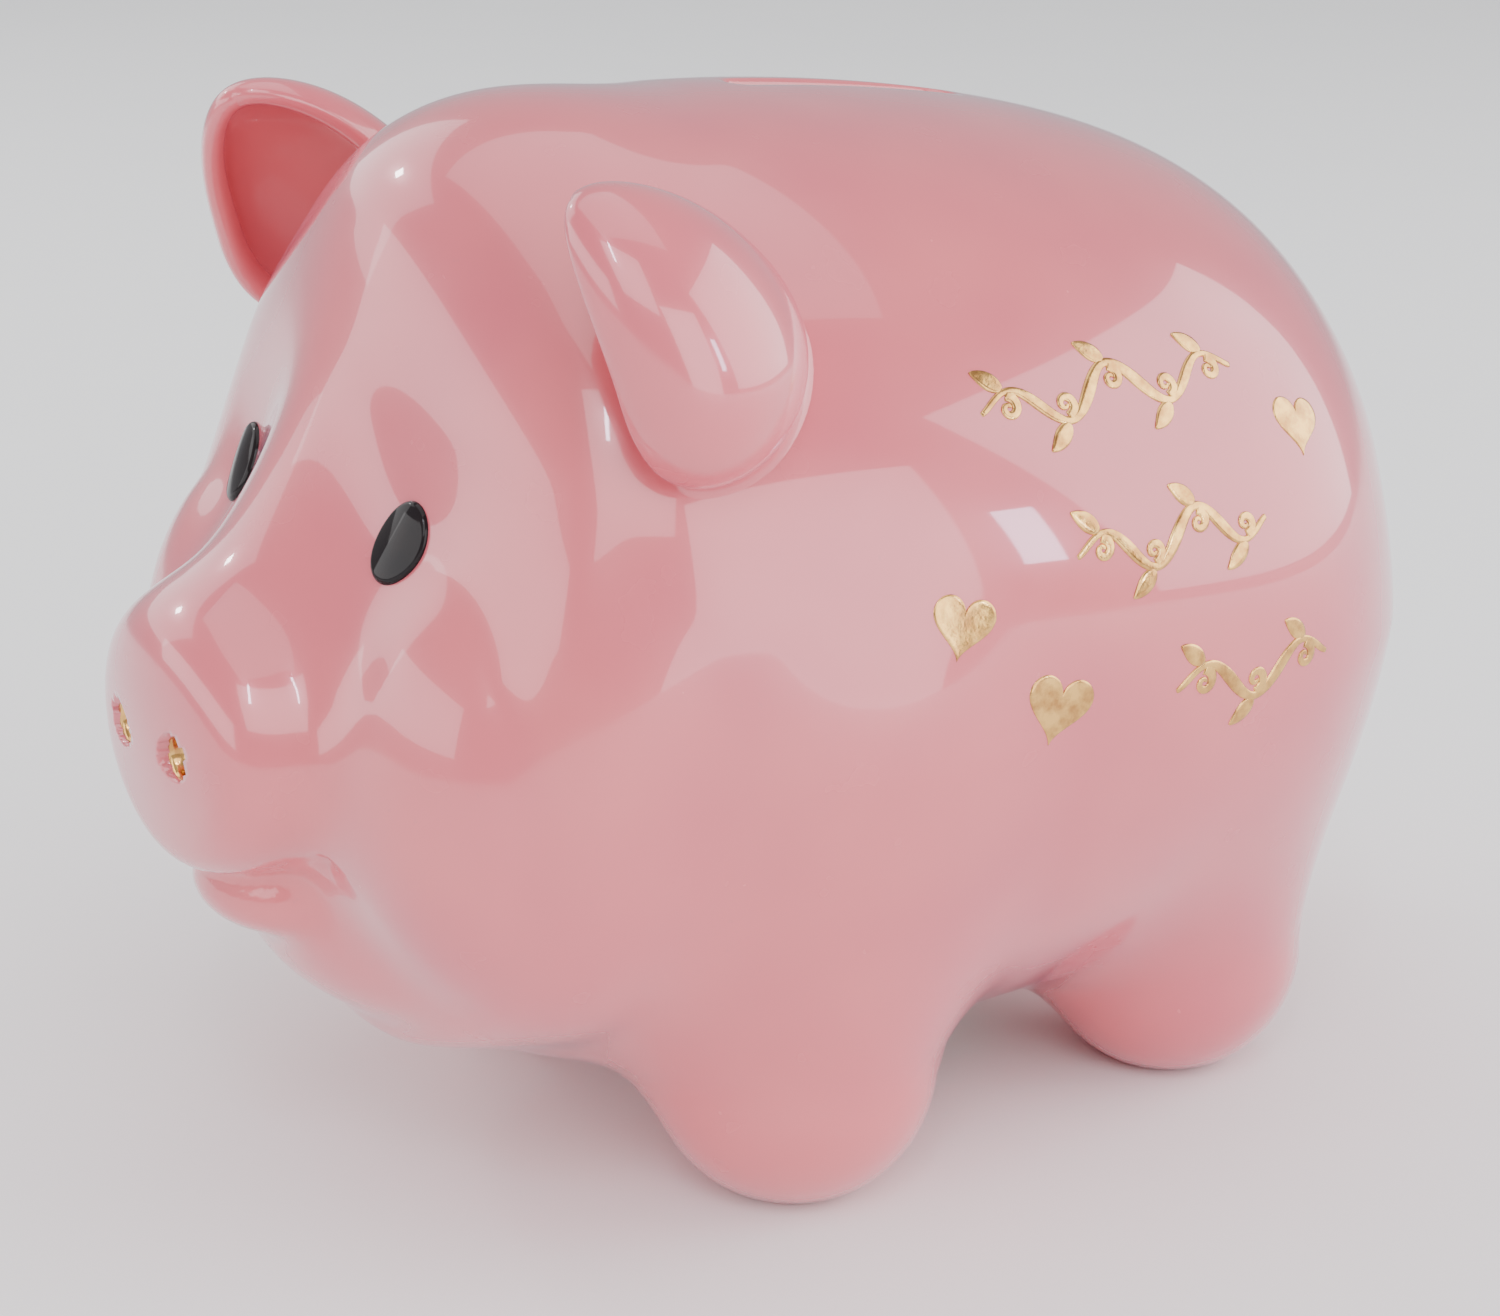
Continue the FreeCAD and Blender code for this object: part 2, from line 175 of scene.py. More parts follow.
@dataclass
class MeshParts:
    """Vertices and faces gathered from several grids, in millimetres."""

    points: list[Array] = field(default_factory=list)
    quads: list[Array] = field(default_factory=list)
    triangles: list[Array] = field(default_factory=list)
    count: int = 0

    def add_points(self, points: Array) -> Array:
        """Add vertices and return their indices in the shape they came in.

        Args:
            points: Points in millimetres, three numbers in the last axis.

        Returns:
            Indices, one for each point.
        """
        flat = points.reshape(-1, 3)
        start = self.count
        self.points.append(flat)
        self.count += len(flat)
        return np.arange(start, self.count).reshape(points.shape[:-1])

    def add_grid(self, index: Array, closed: bool = False, keep: Optional[Array] = None,
                 flip: bool = False) -> None:
        """Add the cells of a grid of vertex indices.

        Args:
            index: Vertex indices in rows and columns.
            closed: Whether the last column joins the first.
            keep: Which cells to add; all of them when left out.
            flip: Whether the cells face the other way.
        """
        if closed:
            index = np.concatenate([index, index[:, :1]], axis=1)
        cells = np.stack([index[:-1, :-1], index[1:, :-1], index[1:, 1:], index[:-1, 1:]], axis=-1)
        cells = cells[keep] if keep is not None else cells.reshape(-1, 4)
        self.quads.append(cells[:, ::-1] if flip else cells)

    def add_fan(self, ring: Array, centre: Array, flip: bool = False) -> None:
        """Close a ring of vertices with triangles to one new vertex.

        Args:
            ring: Vertex indices in turn order.
            centre: Place of the new vertex.
            flip: Whether the triangles face the other way.
        """
        middle = self.add_points(centre.reshape(1, 3))[0]
        around = np.roll(ring, -1)
        cells = np.stack([ring, around, np.full_like(ring, middle)], axis=-1)
        self.triangles.append(cells[:, ::-1] if flip else cells)

    def add_cap(self, run: Array, flip: bool = False) -> None:
        """Close a flat open run of vertices with triangles from its first one."""
        first = np.full(len(run) - 2, run[0])
        cells = np.stack([first, run[1:-1], run[2:]], axis=-1)
        self.triangles.append(cells[:, ::-1] if flip else cells)

    def add_sleeve(self, rings: Sequence[Array], flip: bool = False) -> None:
        """Join closed rings of equal length, one to the next."""
        self.add_grid(np.stack(rings), closed=True, flip=flip)

    def build(self, name: str, smooth: bool = True) -> bpy.types.Object:
        """Write the mesh in metres, without spare vertices and with outward faces.

        Args:
            name: Name of the object.
            smooth: Whether the faces are shaded smooth.

        Returns:
            The new object, linked to the scene.
        """
        used = np.unique(np.concatenate([block.ravel() for block in self.quads + self.triangles]))
        order = np.zeros(self.count, dtype=int)
        order[used] = np.arange(len(used))
        faces = [row for block in self.quads + self.triangles for row in order[block].tolist()]
        mesh = bpy.data.meshes.new(name)
        mesh.from_pydata((np.concatenate(self.points)[used] * MM).tolist(), [], faces)
        merge_doubles(mesh)
        if signed_volume(mesh) < 0.0:
            mesh.flip_normals()
        mesh.polygons.foreach_set("use_smooth", np.full(len(mesh.polygons), smooth))
        mesh.update()
        piece = bpy.data.objects.new(name, mesh)
        bpy.context.scene.collection.objects.link(piece)
        return piece


def merge_doubles(mesh: bpy.types.Mesh, gap: float = TINY) -> None:
    """Join vertices that lie together and drop the faces that this leaves empty.

    Args:
        mesh: Mesh to change.
        gap: Greatest distance between vertices that are joined, in metres.
    """
    work = bmesh.new()
    work.from_mesh(mesh)
    bmesh.ops.remove_doubles(work, verts=work.verts, dist=gap)
    bmesh.ops.dissolve_degenerate(work, edges=work.edges, dist=gap)
    work.to_mesh(mesh)
    work.free()


def signed_volume(mesh: bpy.types.Mesh) -> float:
    """Volume inside a mesh, negative where its faces point inwards.

    Formula: the sum over triangles of a . (b x c) / 6.

    Args:
        mesh: Closed mesh.

    Returns:
        Volume in cubic metres.
    """
    mesh.calc_loop_triangles()
    corners = np.empty(len(mesh.loop_triangles) * 3, dtype=np.int32)
    mesh.loop_triangles.foreach_get("vertices", corners)
    points = np.empty(len(mesh.vertices) * 3)
    mesh.vertices.foreach_get("co", points)
    a, b, c = points.reshape(-1, 3)[corners.reshape(-1, 3)].transpose(1, 0, 2)
    return float(np.einsum("ij,ij->", a, np.cross(b, c)) / 6.0)


def read_points(piece: bpy.types.Object) -> Array:
    """Vertices of a piece, in millimetres.

    Args:
        piece: Object in metres.

    Returns:
        Its vertices, three numbers in each row.
    """
    points = np.empty(len(piece.data.vertices) * 3)
    piece.data.vertices.foreach_get("co", points)
    return points.reshape(-1, 3) / MM


def set_point_values(piece: bpy.types.Object, name: str, values: Array) -> None:
    """Store one number for each vertex under an attribute name.

    Args:
        piece: Object whose mesh gets the attribute.
        name: Name of the attribute.
        values: One number for each vertex.
    """
    attribute = piece.data.attributes.new(name, "FLOAT", "POINT")
    attribute.data.foreach_set("value", values.astype(np.float32))


# --------------------------------------------------------------------------- body form


@dataclass(frozen=True)
class Hoop:
    """One elliptic hoop of the body, in millimetres."""

    along: float
    half_width: float
    top: float
    bottom: float


FORE_START = -60.0
HIND_START = 50.0
PLAN_ROUNDS = 8
NEWTON_ROUNDS = 7
NEWTON_STEPS = (2e-4, 2e-3)
NEWTON_ENDS = (0.001, 0.999)
WHOLE_TURN = 2.0 * math.pi

HOOPS = (
    Hoop(-90.0, 0.3, 64.0, 63.4),
    Hoop(-89.8, 11.5, 73.9, 53.5),
    Hoop(-88.2, 18.0, 79.6, 50.0),
    Hoop(-84.0, 20.9, 82.2, 48.0),
    Hoop(-77.0, 21.3, 82.9, 47.2),
    Hoop(-68.2, 24.0, 85.6, 37.5),
    Hoop(-63.6, 36.6, 103.9, 24.2),
    Hoop(-56.1, 49.6, 126.0, 19.8),
    Hoop(-31.8, 58.7, 137.7, 10.2),
    Hoop(-2.3, 63.8, 138.3, 7.6),
    Hoop(25.5, 65.5, 134.8, 8.4),
    Hoop(51.3, 61.4, 128.2, 14.0),
    Hoop(71.3, 45.2, 115.4, 29.4),
    Hoop(80.5, 28.0, 97.0, 47.0),
    Hoop(84.5, 0.3, 72.0, 71.4),
)


@dataclass(frozen=True)
class Lump:
    """An ellipsoid blended into the body."""

    centre: tuple[float, float, float]
    radii: tuple[float, float, float]
    blend: float


@dataclass(frozen=True)
class Leg:
    """A round foot and a flared leg leaning in to the belly; x is taken on both sides."""

    across: float
    along: float
    radius: float = 19.0
    flare: float = 1.82
    reach: float = 60.0
    blend: float = 9.0
    foot_lift: float = 0.9
    lean: tuple[float, float] = (0.8, 0.9)

    def distance(self, points: Array) -> Array:
        """Near distance to the leg: a cone with a round foot, whose radius grows up its axis.

        Args:
            points: Points with x taken on both sides.

        Returns:
            Distance, negative inside.
        """
        foot = np.array([self.across, self.along, self.radius * self.foot_lift])
        top = np.array([self.across * self.lean[0], self.along * self.lean[1], self.reach])
        axis = top - foot
        share = np.clip(((points - foot) @ axis) / (axis @ axis), 0.0, 1.0)
        nearest = foot + share[..., None] * axis
        radius = self.radius * (1.0 + (self.flare - 1.0) * share)
        return np.linalg.norm(points - nearest, axis=-1) - radius


@dataclass
class BodyForm:
    """The outside of the casting, as a point for every pair of parameters.

    The first parameter runs from the snout, 0, to the rump, 1. The second is the angle round the
    body, 0 under the belly, a quarter turn on the left flank and a half turn along the back.
    """

    hoops: tuple[Hoop, ...] = HOOPS
    cheek: Lump = Lump((28.8, -54.6, 62.8), (20.2, 22.3, 30.7), 12.0)
    lip: Lump = Lump((0.0, -74.4, 44.6), (12.8, 10.2, 6.4), 3.5)
    throat: Lump = Lump((0.0, -60.0, 38.0), (24.0, 15.5, 12.5), 12.0)
    legs: tuple[Leg, ...] = (Leg(33.4, -18.1), Leg(31.5, 47.7, 18.6))
    bridge: tuple[tuple[float, float, float], ...] = ((0.0, -72.0, 72.0), (0.0, -42.0, 118.0))
    bridge_radii: tuple[float, float] = (10.5, 17.0)
    bridge_blend: float = 18.0
    nostril: Lump = Lump((7.2, -90.0, 66.0), (2.8, 2.9, 2.8), 0.3)
    mouth_half_width: float = 21.0
    mouth_radius: float = 2.2
    mouth_blend: float = 1.2
    mouth_fade: float = 0.97
    mouth_corner_power: int = 8
    mouth_heights: tuple[float, float, float] = (48.3, 3.4, 3.0)
    mouth_places: tuple[float, float] = (-86.0, 10.0)
    sole_edge: float = 1.6
    start_places: tuple[float, float, float] = (FORE_START, -20.0, HIND_START)
    start_heights: tuple[float, float, float] = (60.0, 72.0, 76.0)
    slant: float = 0.9
    nearest: float = 0.3
    reach: float = 1.9
    halvings: int = 20
    least_half: float = 0.2
    knot_power: float = 0.6
    table_steps: int = 2001
    coarse_steps: tuple[int, int] = (160, 180)
    coarse_span: tuple[float, float] = (0.02, 0.98)
    slope_step: float = 0.05
    widest_sine: float = 0.99
    least_share: float = 0.05

    def __post_init__(self) -> None:
        """Work out the spline parameter of each hoop from the length of the chords."""
        rows = np.array([(h.along, h.half_width, h.top, h.bottom) for h in self.hoops])
        step = np.diff(rows, axis=0)
        chord = step[:, 0] ** 2 + step[:, 1] ** 2 + ((step[:, 2] - step[:, 3]) / 2.0) ** 2
        knots = np.concatenate([[0.0], np.cumsum(np.sqrt(chord) ** self.knot_power)])
        self.rows = rows
        self.knots = knots / knots[-1]
        self.table = np.linspace(0.0, 1.0, self.table_steps)
        self.table_rows = natural_spline(self.knots, self.rows, self.table)

    @cached_property
    def coarse(self) -> tuple[Array, Array, Array]:
        """A coarse grid of both parameters with its surface points, worked out once."""
        rows, columns = self.coarse_steps
        along = np.linspace(*self.coarse_span, rows)
        u, v = np.meshgrid(along, np.linspace(0.0, WHOLE_TURN, columns), indexing="ij")
        return u, v, self.point(u, v)

    def hoop_at(self, u: Array) -> tuple[Array, Array, Array, Array]:
        """Place along, half width, mid height and half height of the hoop at each parameter.

        Args:
            u: First parameter.

        Returns:
            The four sizes, each in the shape of the parameter.
        """
        row = natural_spline(self.knots, self.rows, u)
        along, width, top, bottom = np.moveaxis(row, -1, 0)
        half_height = np.maximum((top - bottom) / 2.0, self.least_half)
        return along, np.maximum(width, self.least_half), (top + bottom) / 2.0, half_height

    def start_height(self, along: Array) -> Array:
        """Height of the middle line that the rays start from."""
        return np.interp(along, self.start_places, self.start_heights)

    def parameter_at(self, along: Array) -> Array:
        """First parameter whose hoop lies at a place along the body."""
        return np.interp(along, np.maximum.accumulate(self.table_rows[:, 0]), self.table)

    def blended(self, points: Array, base: Array) -> Array:
        """Blend the plain body's field with the cheeks, the lip, the legs and the hollows.

        Args:
            points: Points in millimetres.
            base: The plain body's field at those points.

        Returns:
            Field that is zero on the surface and negative inside.
        """
        mirrored = points.copy()
        mirrored[..., 0] = np.abs(mirrored[..., 0])
        value = base
        for lump in (self.cheek, self.throat, self.lip):
            value = soft_min(value, ellipsoid_distance(mirrored, lump.centre, lump.radii), lump.blend)
        for leg in self.legs:
            value = soft_min(value, leg.distance(mirrored), leg.blend)
        value = soft_min(value, self.bridge_distance(mirrored), self.bridge_blend)
        hollow = -ellipsoid_distance(mirrored, self.nostril.centre, self.nostril.radii)
        value = soft_max(value, hollow, self.nostril.blend)
        return soft_max(value, self.mouth_hollow(mirrored), self.mouth_blend)

    def bridge_distance(self, mirrored: Array) -> Array:
        """Near distance to the bridge of the nose: a cone with round ends up to the forehead.

        Args:
            mirrored: Points with x taken on both sides.

        Returns:
            Distance, negative inside.
        """
        low, high = (np.array(end) for end in self.bridge)
        axis = high - low
        share = np.clip(((mirrored - low) @ axis) / (axis @ axis), 0.0, 1.0)
        radius = self.bridge_radii[0] + (self.bridge_radii[1] - self.bridge_radii[0]) * share
        return np.linalg.norm(mirrored - low - share[..., None] * axis, axis=-1) - radius

    def mouth_hollow(self, mirrored: Array) -> Array:
        """Field of the smile: a round groove that thins towards its raised corners.

        Formula: the groove's line rises and runs back with the square of the place across, and
        lifts more near the corner; its radius fades to the corner with the fourth power of the
        place; the field is the radius less the distance to the line.

        Args:
            mirrored: Points with x taken on both sides.

        Returns:
            Field that is positive inside the groove.
        """
        across = np.clip(mirrored[..., 0], 0.0, self.mouth_half_width)
        share = across / self.mouth_half_width
        middle, lift, corner = self.mouth_heights
        front, back = self.mouth_places
        rise = middle + lift * share**2 + corner * share**self.mouth_corner_power
        line = np.stack([across, front + back * share**2, rise], axis=-1)
        radius = self.mouth_radius * np.sqrt(1.0 - self.mouth_fade * share**4)
        return radius - np.linalg.norm(mirrored - line, axis=-1)

    def solve(self, u: Array, v: Array) -> tuple[Array, Array, Array]:
        """Find where each ray from the body's middle line crosses the blended surface.

        Formula: the ray runs from the middle line through the plain hoop's point, and halving its
        length finds the zero of the blended field.

        Args:
            u: First parameter.
            v: Angle round the body, same shape.

        Returns:
            Start of each ray, its full step to the plain hoop, and the share of that step.
        """
        along, width, middle, height = self.hoop_at(u)
        plain = np.stack([width * np.sin(v), along, middle - height * np.cos(v)], axis=-1)
        start_along = np.clip(along, FORE_START, HIND_START)
        start = np.stack([np.zeros_like(along), start_along, self.start_height(start_along)], axis=-1)
        step = plain - start
        length = np.linalg.norm(step, axis=-1)
        low = np.full_like(along, self.nearest)
        high = np.full_like(along, self.reach)
        for _ in range(self.halvings):
            middle_share = (low + high) / 2.0
            points = start + middle_share[..., None] * step
            inside = self.blended(points, (middle_share - 1.0) * length * self.slant) < 0.0
            low = np.where(inside, middle_share, low)
            high = np.where(inside, high, middle_share)
        return start, step, (low + high) / 2.0

    def point(self, u: Array, v: Array) -> Array:
        """Points of the finished outside, with the soles ground flat at z = 0.

        Args:
            u: First parameter.
            v: Angle round the body.

        Returns:
            Points in millimetres.
        """
        start, step, share = self.solve(u, v)
        points = start + share[..., None] * step
        points[..., 2] = soft_max(points[..., 2], 0.0, self.sole_edge)
        return points

    def inner_point(self, u: Array, v: Array, wall: float) -> Array:
        """Points of the hollow's surface: the outside drawn back along each ray by the wall.

        Args:
            u: First parameter.
            v: Angle round the body.
            wall: Thickness of the wall.

        Returns:
            Points in millimetres.
        """
        start, step, share = self.solve(u, v)
        length = np.linalg.norm(step, axis=-1)
        return start + np.maximum(share - wall / length, self.least_share)[..., None] * step

    def level(self, points: Array) -> Array:
        """Blended field at any points between the fore and the hind end of the middle line.

        Formula: in the plane across the body, a ray from the middle line through the point meets
        the plain hoop where a quadratic says, and the field is most of what lies beyond.

        Args:
            points: Points in millimetres.

        Returns:
            Field that is zero on the surface and negative inside.
        """
        along = np.clip(points[..., 1], FORE_START, HIND_START)
        _, width, middle, height = self.hoop_at(self.parameter_at(along))
        rise = self.start_height(along) - middle
        ray = points - np.stack([np.zeros_like(along), along, self.start_height(along)], axis=-1)
        length = np.maximum(np.linalg.norm(ray[..., ::2], axis=-1), TINY)
        sideways, upward = ray[..., 0] / length, ray[..., 2] / length
        a = (sideways / width) ** 2 + (upward / height) ** 2
        b = rise * upward / height**2
        c = (rise / height) ** 2 - 1.0
        reach = (-b + np.sqrt(np.maximum(b * b - a * c, 0.0))) / a
        return self.blended(points, self.slant * (length - reach))

    def normal_at(self, points: Array) -> Array:
        """Outward direction of the field: its slope from small steps along each axis.

        Args:
            points: Points in millimetres.

        Returns:
            Unit directions.
        """
        shifts = np.eye(3) * self.slope_step
        slope = [self.level(points + shift) - self.level(points - shift) for shift in shifts]
        return unit(np.stack(slope, axis=-1))

    def plan_point(self, across: Array, along: Array, above: bool, wall: float) -> Array:
        """Points of the outside, or of the hollow, straight over or under plan positions.

        Formula: the sine of the angle round the body is the place across, over the half width times
        the share of the ray, and the share is found again a few times.

        Args:
            across: Place across, in millimetres.
            along: Place along.
            above: Whether the point is in the back rather than in the belly.
            wall: Thickness taken off along the ray; 0 for the outside.

        Returns:
            Points in millimetres.
        """
        u = self.parameter_at(along)
        width = self.hoop_at(u)[1]
        share = np.ones_like(across)
        for _ in range(PLAN_ROUNDS):
            sine = np.clip(across / (width * share), -self.widest_sine, self.widest_sine)
            v = math.pi - np.arcsin(sine) if above else np.arcsin(sine)
            start, step, found = self.solve(u, v)
            found = found - wall / np.linalg.norm(step, axis=-1)
            share = (share + found) / 2.0
        return start + found[..., None] * step


@dataclass
class Patch:
    """Flat coordinates laid on the body's surface round a point, for ornament and eyes.

    A flat point (a, b) lies where a line through centre + a e1 + b e2, along the outward direction,
    meets the surface.
    """

    form: BodyForm
    centre: Array
    e1: Array
    e2: Array

    def guess(self) -> tuple[float, float]:
        """Parameters of the surface point nearest the centre, from a coarse grid."""
        u, v, points = self.form.coarse
        gap = np.linalg.norm(points - self.centre, axis=-1)
        best = np.unravel_index(np.argmin(gap), gap.shape)
        return float(u[best]), float(v[best])

    def lay(self, flat: Array) -> tuple[Array, Array]:
        """Lay flat points on the surface by Newton's rule on the two surface parameters.

        Args:
            flat: Points (a, b) in millimetres, two numbers in the last axis.

        Returns:
            Points on the surface, and the outward directions there.
        """
        u0, v0 = self.guess()
        u = np.full(flat.shape[:-1], u0)
        v = np.full(flat.shape[:-1], v0)
        frame_axes = np.stack([self.e1, self.e2])
        du, dv = NEWTON_STEPS
        for _ in range(NEWTON_ROUNDS):
            here = self.form.point(u, v)
            along_u = (self.form.point(u + du, v) - here) / du
            along_v = (self.form.point(u, v + dv) - here) / dv
            miss = (here - self.centre) @ frame_axes.T - flat
            ju, jv = along_u @ frame_axes.T, along_v @ frame_axes.T
            det = ju[..., 0] * jv[..., 1] - ju[..., 1] * jv[..., 0]
            det = np.where(np.abs(det) < TINY, TINY, det)
            u = np.clip(u - (miss[..., 0] * jv[..., 1] - miss[..., 1] * jv[..., 0]) / det, *NEWTON_ENDS)
            v = v - (ju[..., 0] * miss[..., 1] - ju[..., 1] * miss[..., 0]) / det
        here = self.form.point(u, v)
        normal = unit(np.cross(self.form.point(u + du, v) - here, self.form.point(u, v + dv) - here))
        outward = unit(np.cross(self.e1, self.e2))
        sign = np.where((normal @ outward) < 0.0, -1.0, 1.0)
        return here, normal * sign[..., None]


# --------------------------------------------------------------------------- hollow body


def square_ring(level: int) -> tuple[Array, Array]:
    """Row and column steps round a square of index cells, one whole turn.

    Args:
        level: Half the side of the square, in cells.

    Returns:
        Row steps and column steps.
    """
    side = np.arange(-level, level)
    flat = np.full(2 * level, level)
    rows = np.concatenate([flat, -side, -flat, side])
    columns = np.concatenate([side, flat, -side, -flat])
    return rows, columns


@dataclass(frozen=True)
class Opening:
    """A hole through the wall with a rounded edge, on a square block of the surface's grid."""

    along: float
    radius: float
    straight: float
    edge: float
    above: bool
    turn: float

    def outline(self, row: Array, column: Array, grow: float = 0.0) -> Array:
        """Plan points of the hole's outline for directions on a unit square.

        Formula: on the fore and hind sides the outline is an arc whose angle follows the column;
        on the others it is a straight run, or for a round hole the rest of the circle.

        Args:
            row: Direction along the body, one of the two being 1 or -1.
            column: Direction across the grid.
            grow: Added to the radius.

        Returns:
            Points (x, y) in millimetres.
        """
        across_sign = -1.0 if self.above else 1.0
        ends = np.abs(row) >= np.abs(column)
        sweep = math.pi / 2.0 if self.straight else math.pi / 4.0
        angle = np.where(ends, column * sweep, math.pi / 2.0 - row * (math.pi / 2.0 - sweep))
        sideways = np.where(ends, np.sin(angle), np.sign(column) * np.sin(angle))
        lengthways = np.where(ends, np.sign(row) * np.cos(angle), np.cos(angle))
        run = np.where(ends, np.sign(row), row) * self.straight
        radius = self.radius + grow
        x = across_sign * radius * sideways
        return np.stack([x, self.along + run + radius * lengthways], axis=-1)


@dataclass
class HollowBody:
    """The slip-cast body: outside, inside, coin slot and stopper well in one closed skin."""

    form: BodyForm
    wall: float = 4.5
    block: int = 24
    hole: int = 8
    edge_rings: int = 4
    block_along: tuple[float, float] = (-16.0, 44.0)
    slot: Opening = Opening(12.0, 2.5, 15.0, 1.1, True, 0.25)
    well: Opening = Opening(14.0, 20.5, 0.0, 1.2, False, 0.52)
    boss_grow: float = 4.5
    inside_rounding: float = 0.3
    outside_grid: tuple[int, int, int] = (136, 84, 50)
    inside_grid: tuple[int, int, int] = (36, 20, 20)
    glaze_depth: tuple[float, float] = (0.6, 0.8)
    wiped_height: tuple[float, float] = (0.3, 0.2)
    well_profile: tuple[tuple[float, float], ...] = (
        (20.5, 12.5), (20.1, 13.0), (16.4, 13.0), (16.0, 13.4), (16.0, 17.6),
        (16.4, 18.0), (24.4, 18.0), (25.0, 17.6))

    def rows(self, fore: int, hind: int) -> Array:
        """First parameters of the grid's rows: even steps of length before and after the block.

        Args:
            fore: Rows before the block.
            hind: Rows after the block.

        Returns:
            Rising first parameters.
        """
        table, rows = self.form.table, self.form.table_rows
        length = np.concatenate([[0.0], np.cumsum(np.linalg.norm(np.diff(rows[:, :3], axis=0), axis=1))])
        start, end = self.form.parameter_at(np.array(self.block_along))
        at_start, at_end = np.interp((start, end), table, length)
        before = np.interp(np.linspace(0.0, at_start, fore + 1)[:-1], length, table)
        middle = self.form.parameter_at(np.linspace(*self.block_along, 2 * self.block + 1))
        after = np.interp(np.linspace(at_end, length[-1], hind + 1)[1:], length, table)
        return np.concatenate([before, middle, after])

    def columns(self, sides: int) -> Array:
        """Angles of the grid's columns: the well's block, a flank, the slot's block, a flank.

        Args:
            sides: Columns on each flank.

        Returns:
            Angles over one whole turn, starting beside the belly.
        """
        steps = 2 * self.block
        low, high = self.well.turn, math.pi - self.slot.turn
        far_high, far_low = WHOLE_TURN - high, WHOLE_TURN - low
        across = lines((-low, low, steps), (low, high, sides), (high, far_high, steps))
        return np.concatenate([across, np.linspace(far_high, far_low, sides + 1)[1:-1]])

    def surface(self, u: Array, v: Array, wall: float) -> Array:
        """Outside points where the wall is 0, or points of the hollow."""
        return self.form.inner_point(u, v, wall) if wall else self.form.point(u, v)

    def open_block(self, points: Array, u: Array, v: Array, first: int, middle: int,
                   opening: Opening, grow: float, wall: float) -> None:
        """Pull the grid round an opening so that a ring of vertices lies on its outline.

        Formula: each ring lies between the outline and the block's edge. The first few follow a
        quarter circle, which rounds the edge, and the rest spread out evenly.

        Args:
            points: The whole grid, changed in place.
            u: First parameters of the rows.
            v: Angles of the columns.
            first: First row of the block.
            middle: Column through the middle of the block.
            opening: The opening.
            grow: Added to its radius.
            wall: Thickness taken off, as for surface.
        """
        steps = np.arange(-self.block, self.block + 1)
        i, j = np.meshgrid(steps, steps, indexing="ij")
        ring = np.maximum(np.abs(i), np.abs(j))
        inside = (ring >= self.hole) & (ring < self.block)
        i, j, ring = i[inside], j[inside], ring[inside]
        a, b = i / ring, j / ring
        row_u = np.interp(a * self.block, steps, u[first:first + len(steps)])
        edge = self.surface(row_u, v[middle % len(v)] + b * opening.turn, wall)[..., :2]
        outline = opening.outline(a, b, grow)
        gap = np.linalg.norm(edge - outline, axis=-1)
        rounding = opening.edge if not wall else self.inside_rounding
        quarter = np.clip((ring - self.hole) / self.edge_rings, 0.0, 1.0) * math.pi / 2.0
        first_even = self.hole + self.edge_rings
        spread = np.clip((ring - first_even) / (self.block - first_even), 0.0, 1.0)
        away = rounding * (1.0 - np.cos(quarter)) + (gap - rounding) * spread
        plan = outline + (edge - outline) * (away / gap)[:, None]
        found = self.form.plan_point(plan[:, 0], plan[:, 1], opening.above, wall)
        sink = rounding * (1.0 - np.sin(quarter)) * (-1.0 if opening.above != bool(wall) else 1.0)
        found[:, 2] += sink
        if not wall:
            found[:, 2] = soft_max(found[:, 2], 0.0, self.form.sole_edge)
        points[first + self.block + i, (middle + j) % len(v)] = found

    def skin(self, parts: MeshParts, fore: int, sides: int, hind: int, wall: float) -> tuple[Array, Array]:
        """Add the outside or the hollow with both openings left in it.

        Args:
            parts: Mesh to add to.
            fore: Rows before the block.
            sides: Columns on each flank.
            hind: Rows after the block.
            wall: Thickness taken off; 0 for the outside.

        Returns:
            Vertices round the slot and round the well, both in turn order.
        """
        u, v = self.rows(fore, hind), self.columns(sides)
        grid_u, grid_v = np.meshgrid(u, v, indexing="ij")
        points = self.surface(grid_u, grid_v, wall)
        well_column = self.block
        slot_column = 3 * self.block + sides
        grow = self.boss_grow if wall else 0.0
        self.open_block(points, u, v, fore, well_column, self.well, grow, wall)
        self.open_block(points, u, v, fore, slot_column, self.slot, 0.0, wall)
        index = parts.add_points(points)
        keep = np.ones((len(u) - 1, len(v)), dtype=bool)
        rims = []
        for column in (slot_column, well_column):
            hollow = slice(column - self.hole, column + self.hole)
            keep[fore + self.block - self.hole:fore + self.block + self.hole, hollow] = False
            i, j = square_ring(self.hole)
            rims.append(index[fore + self.block + i, column + j])
        parts.add_grid(index, closed=True, keep=keep, flip=bool(wall))
        parts.add_fan(index[0], points[0].mean(axis=0), flip=bool(wall))
        parts.add_fan(index[-1], points[-1].mean(axis=0), flip=not wall)
        return rims[0], rims[1]

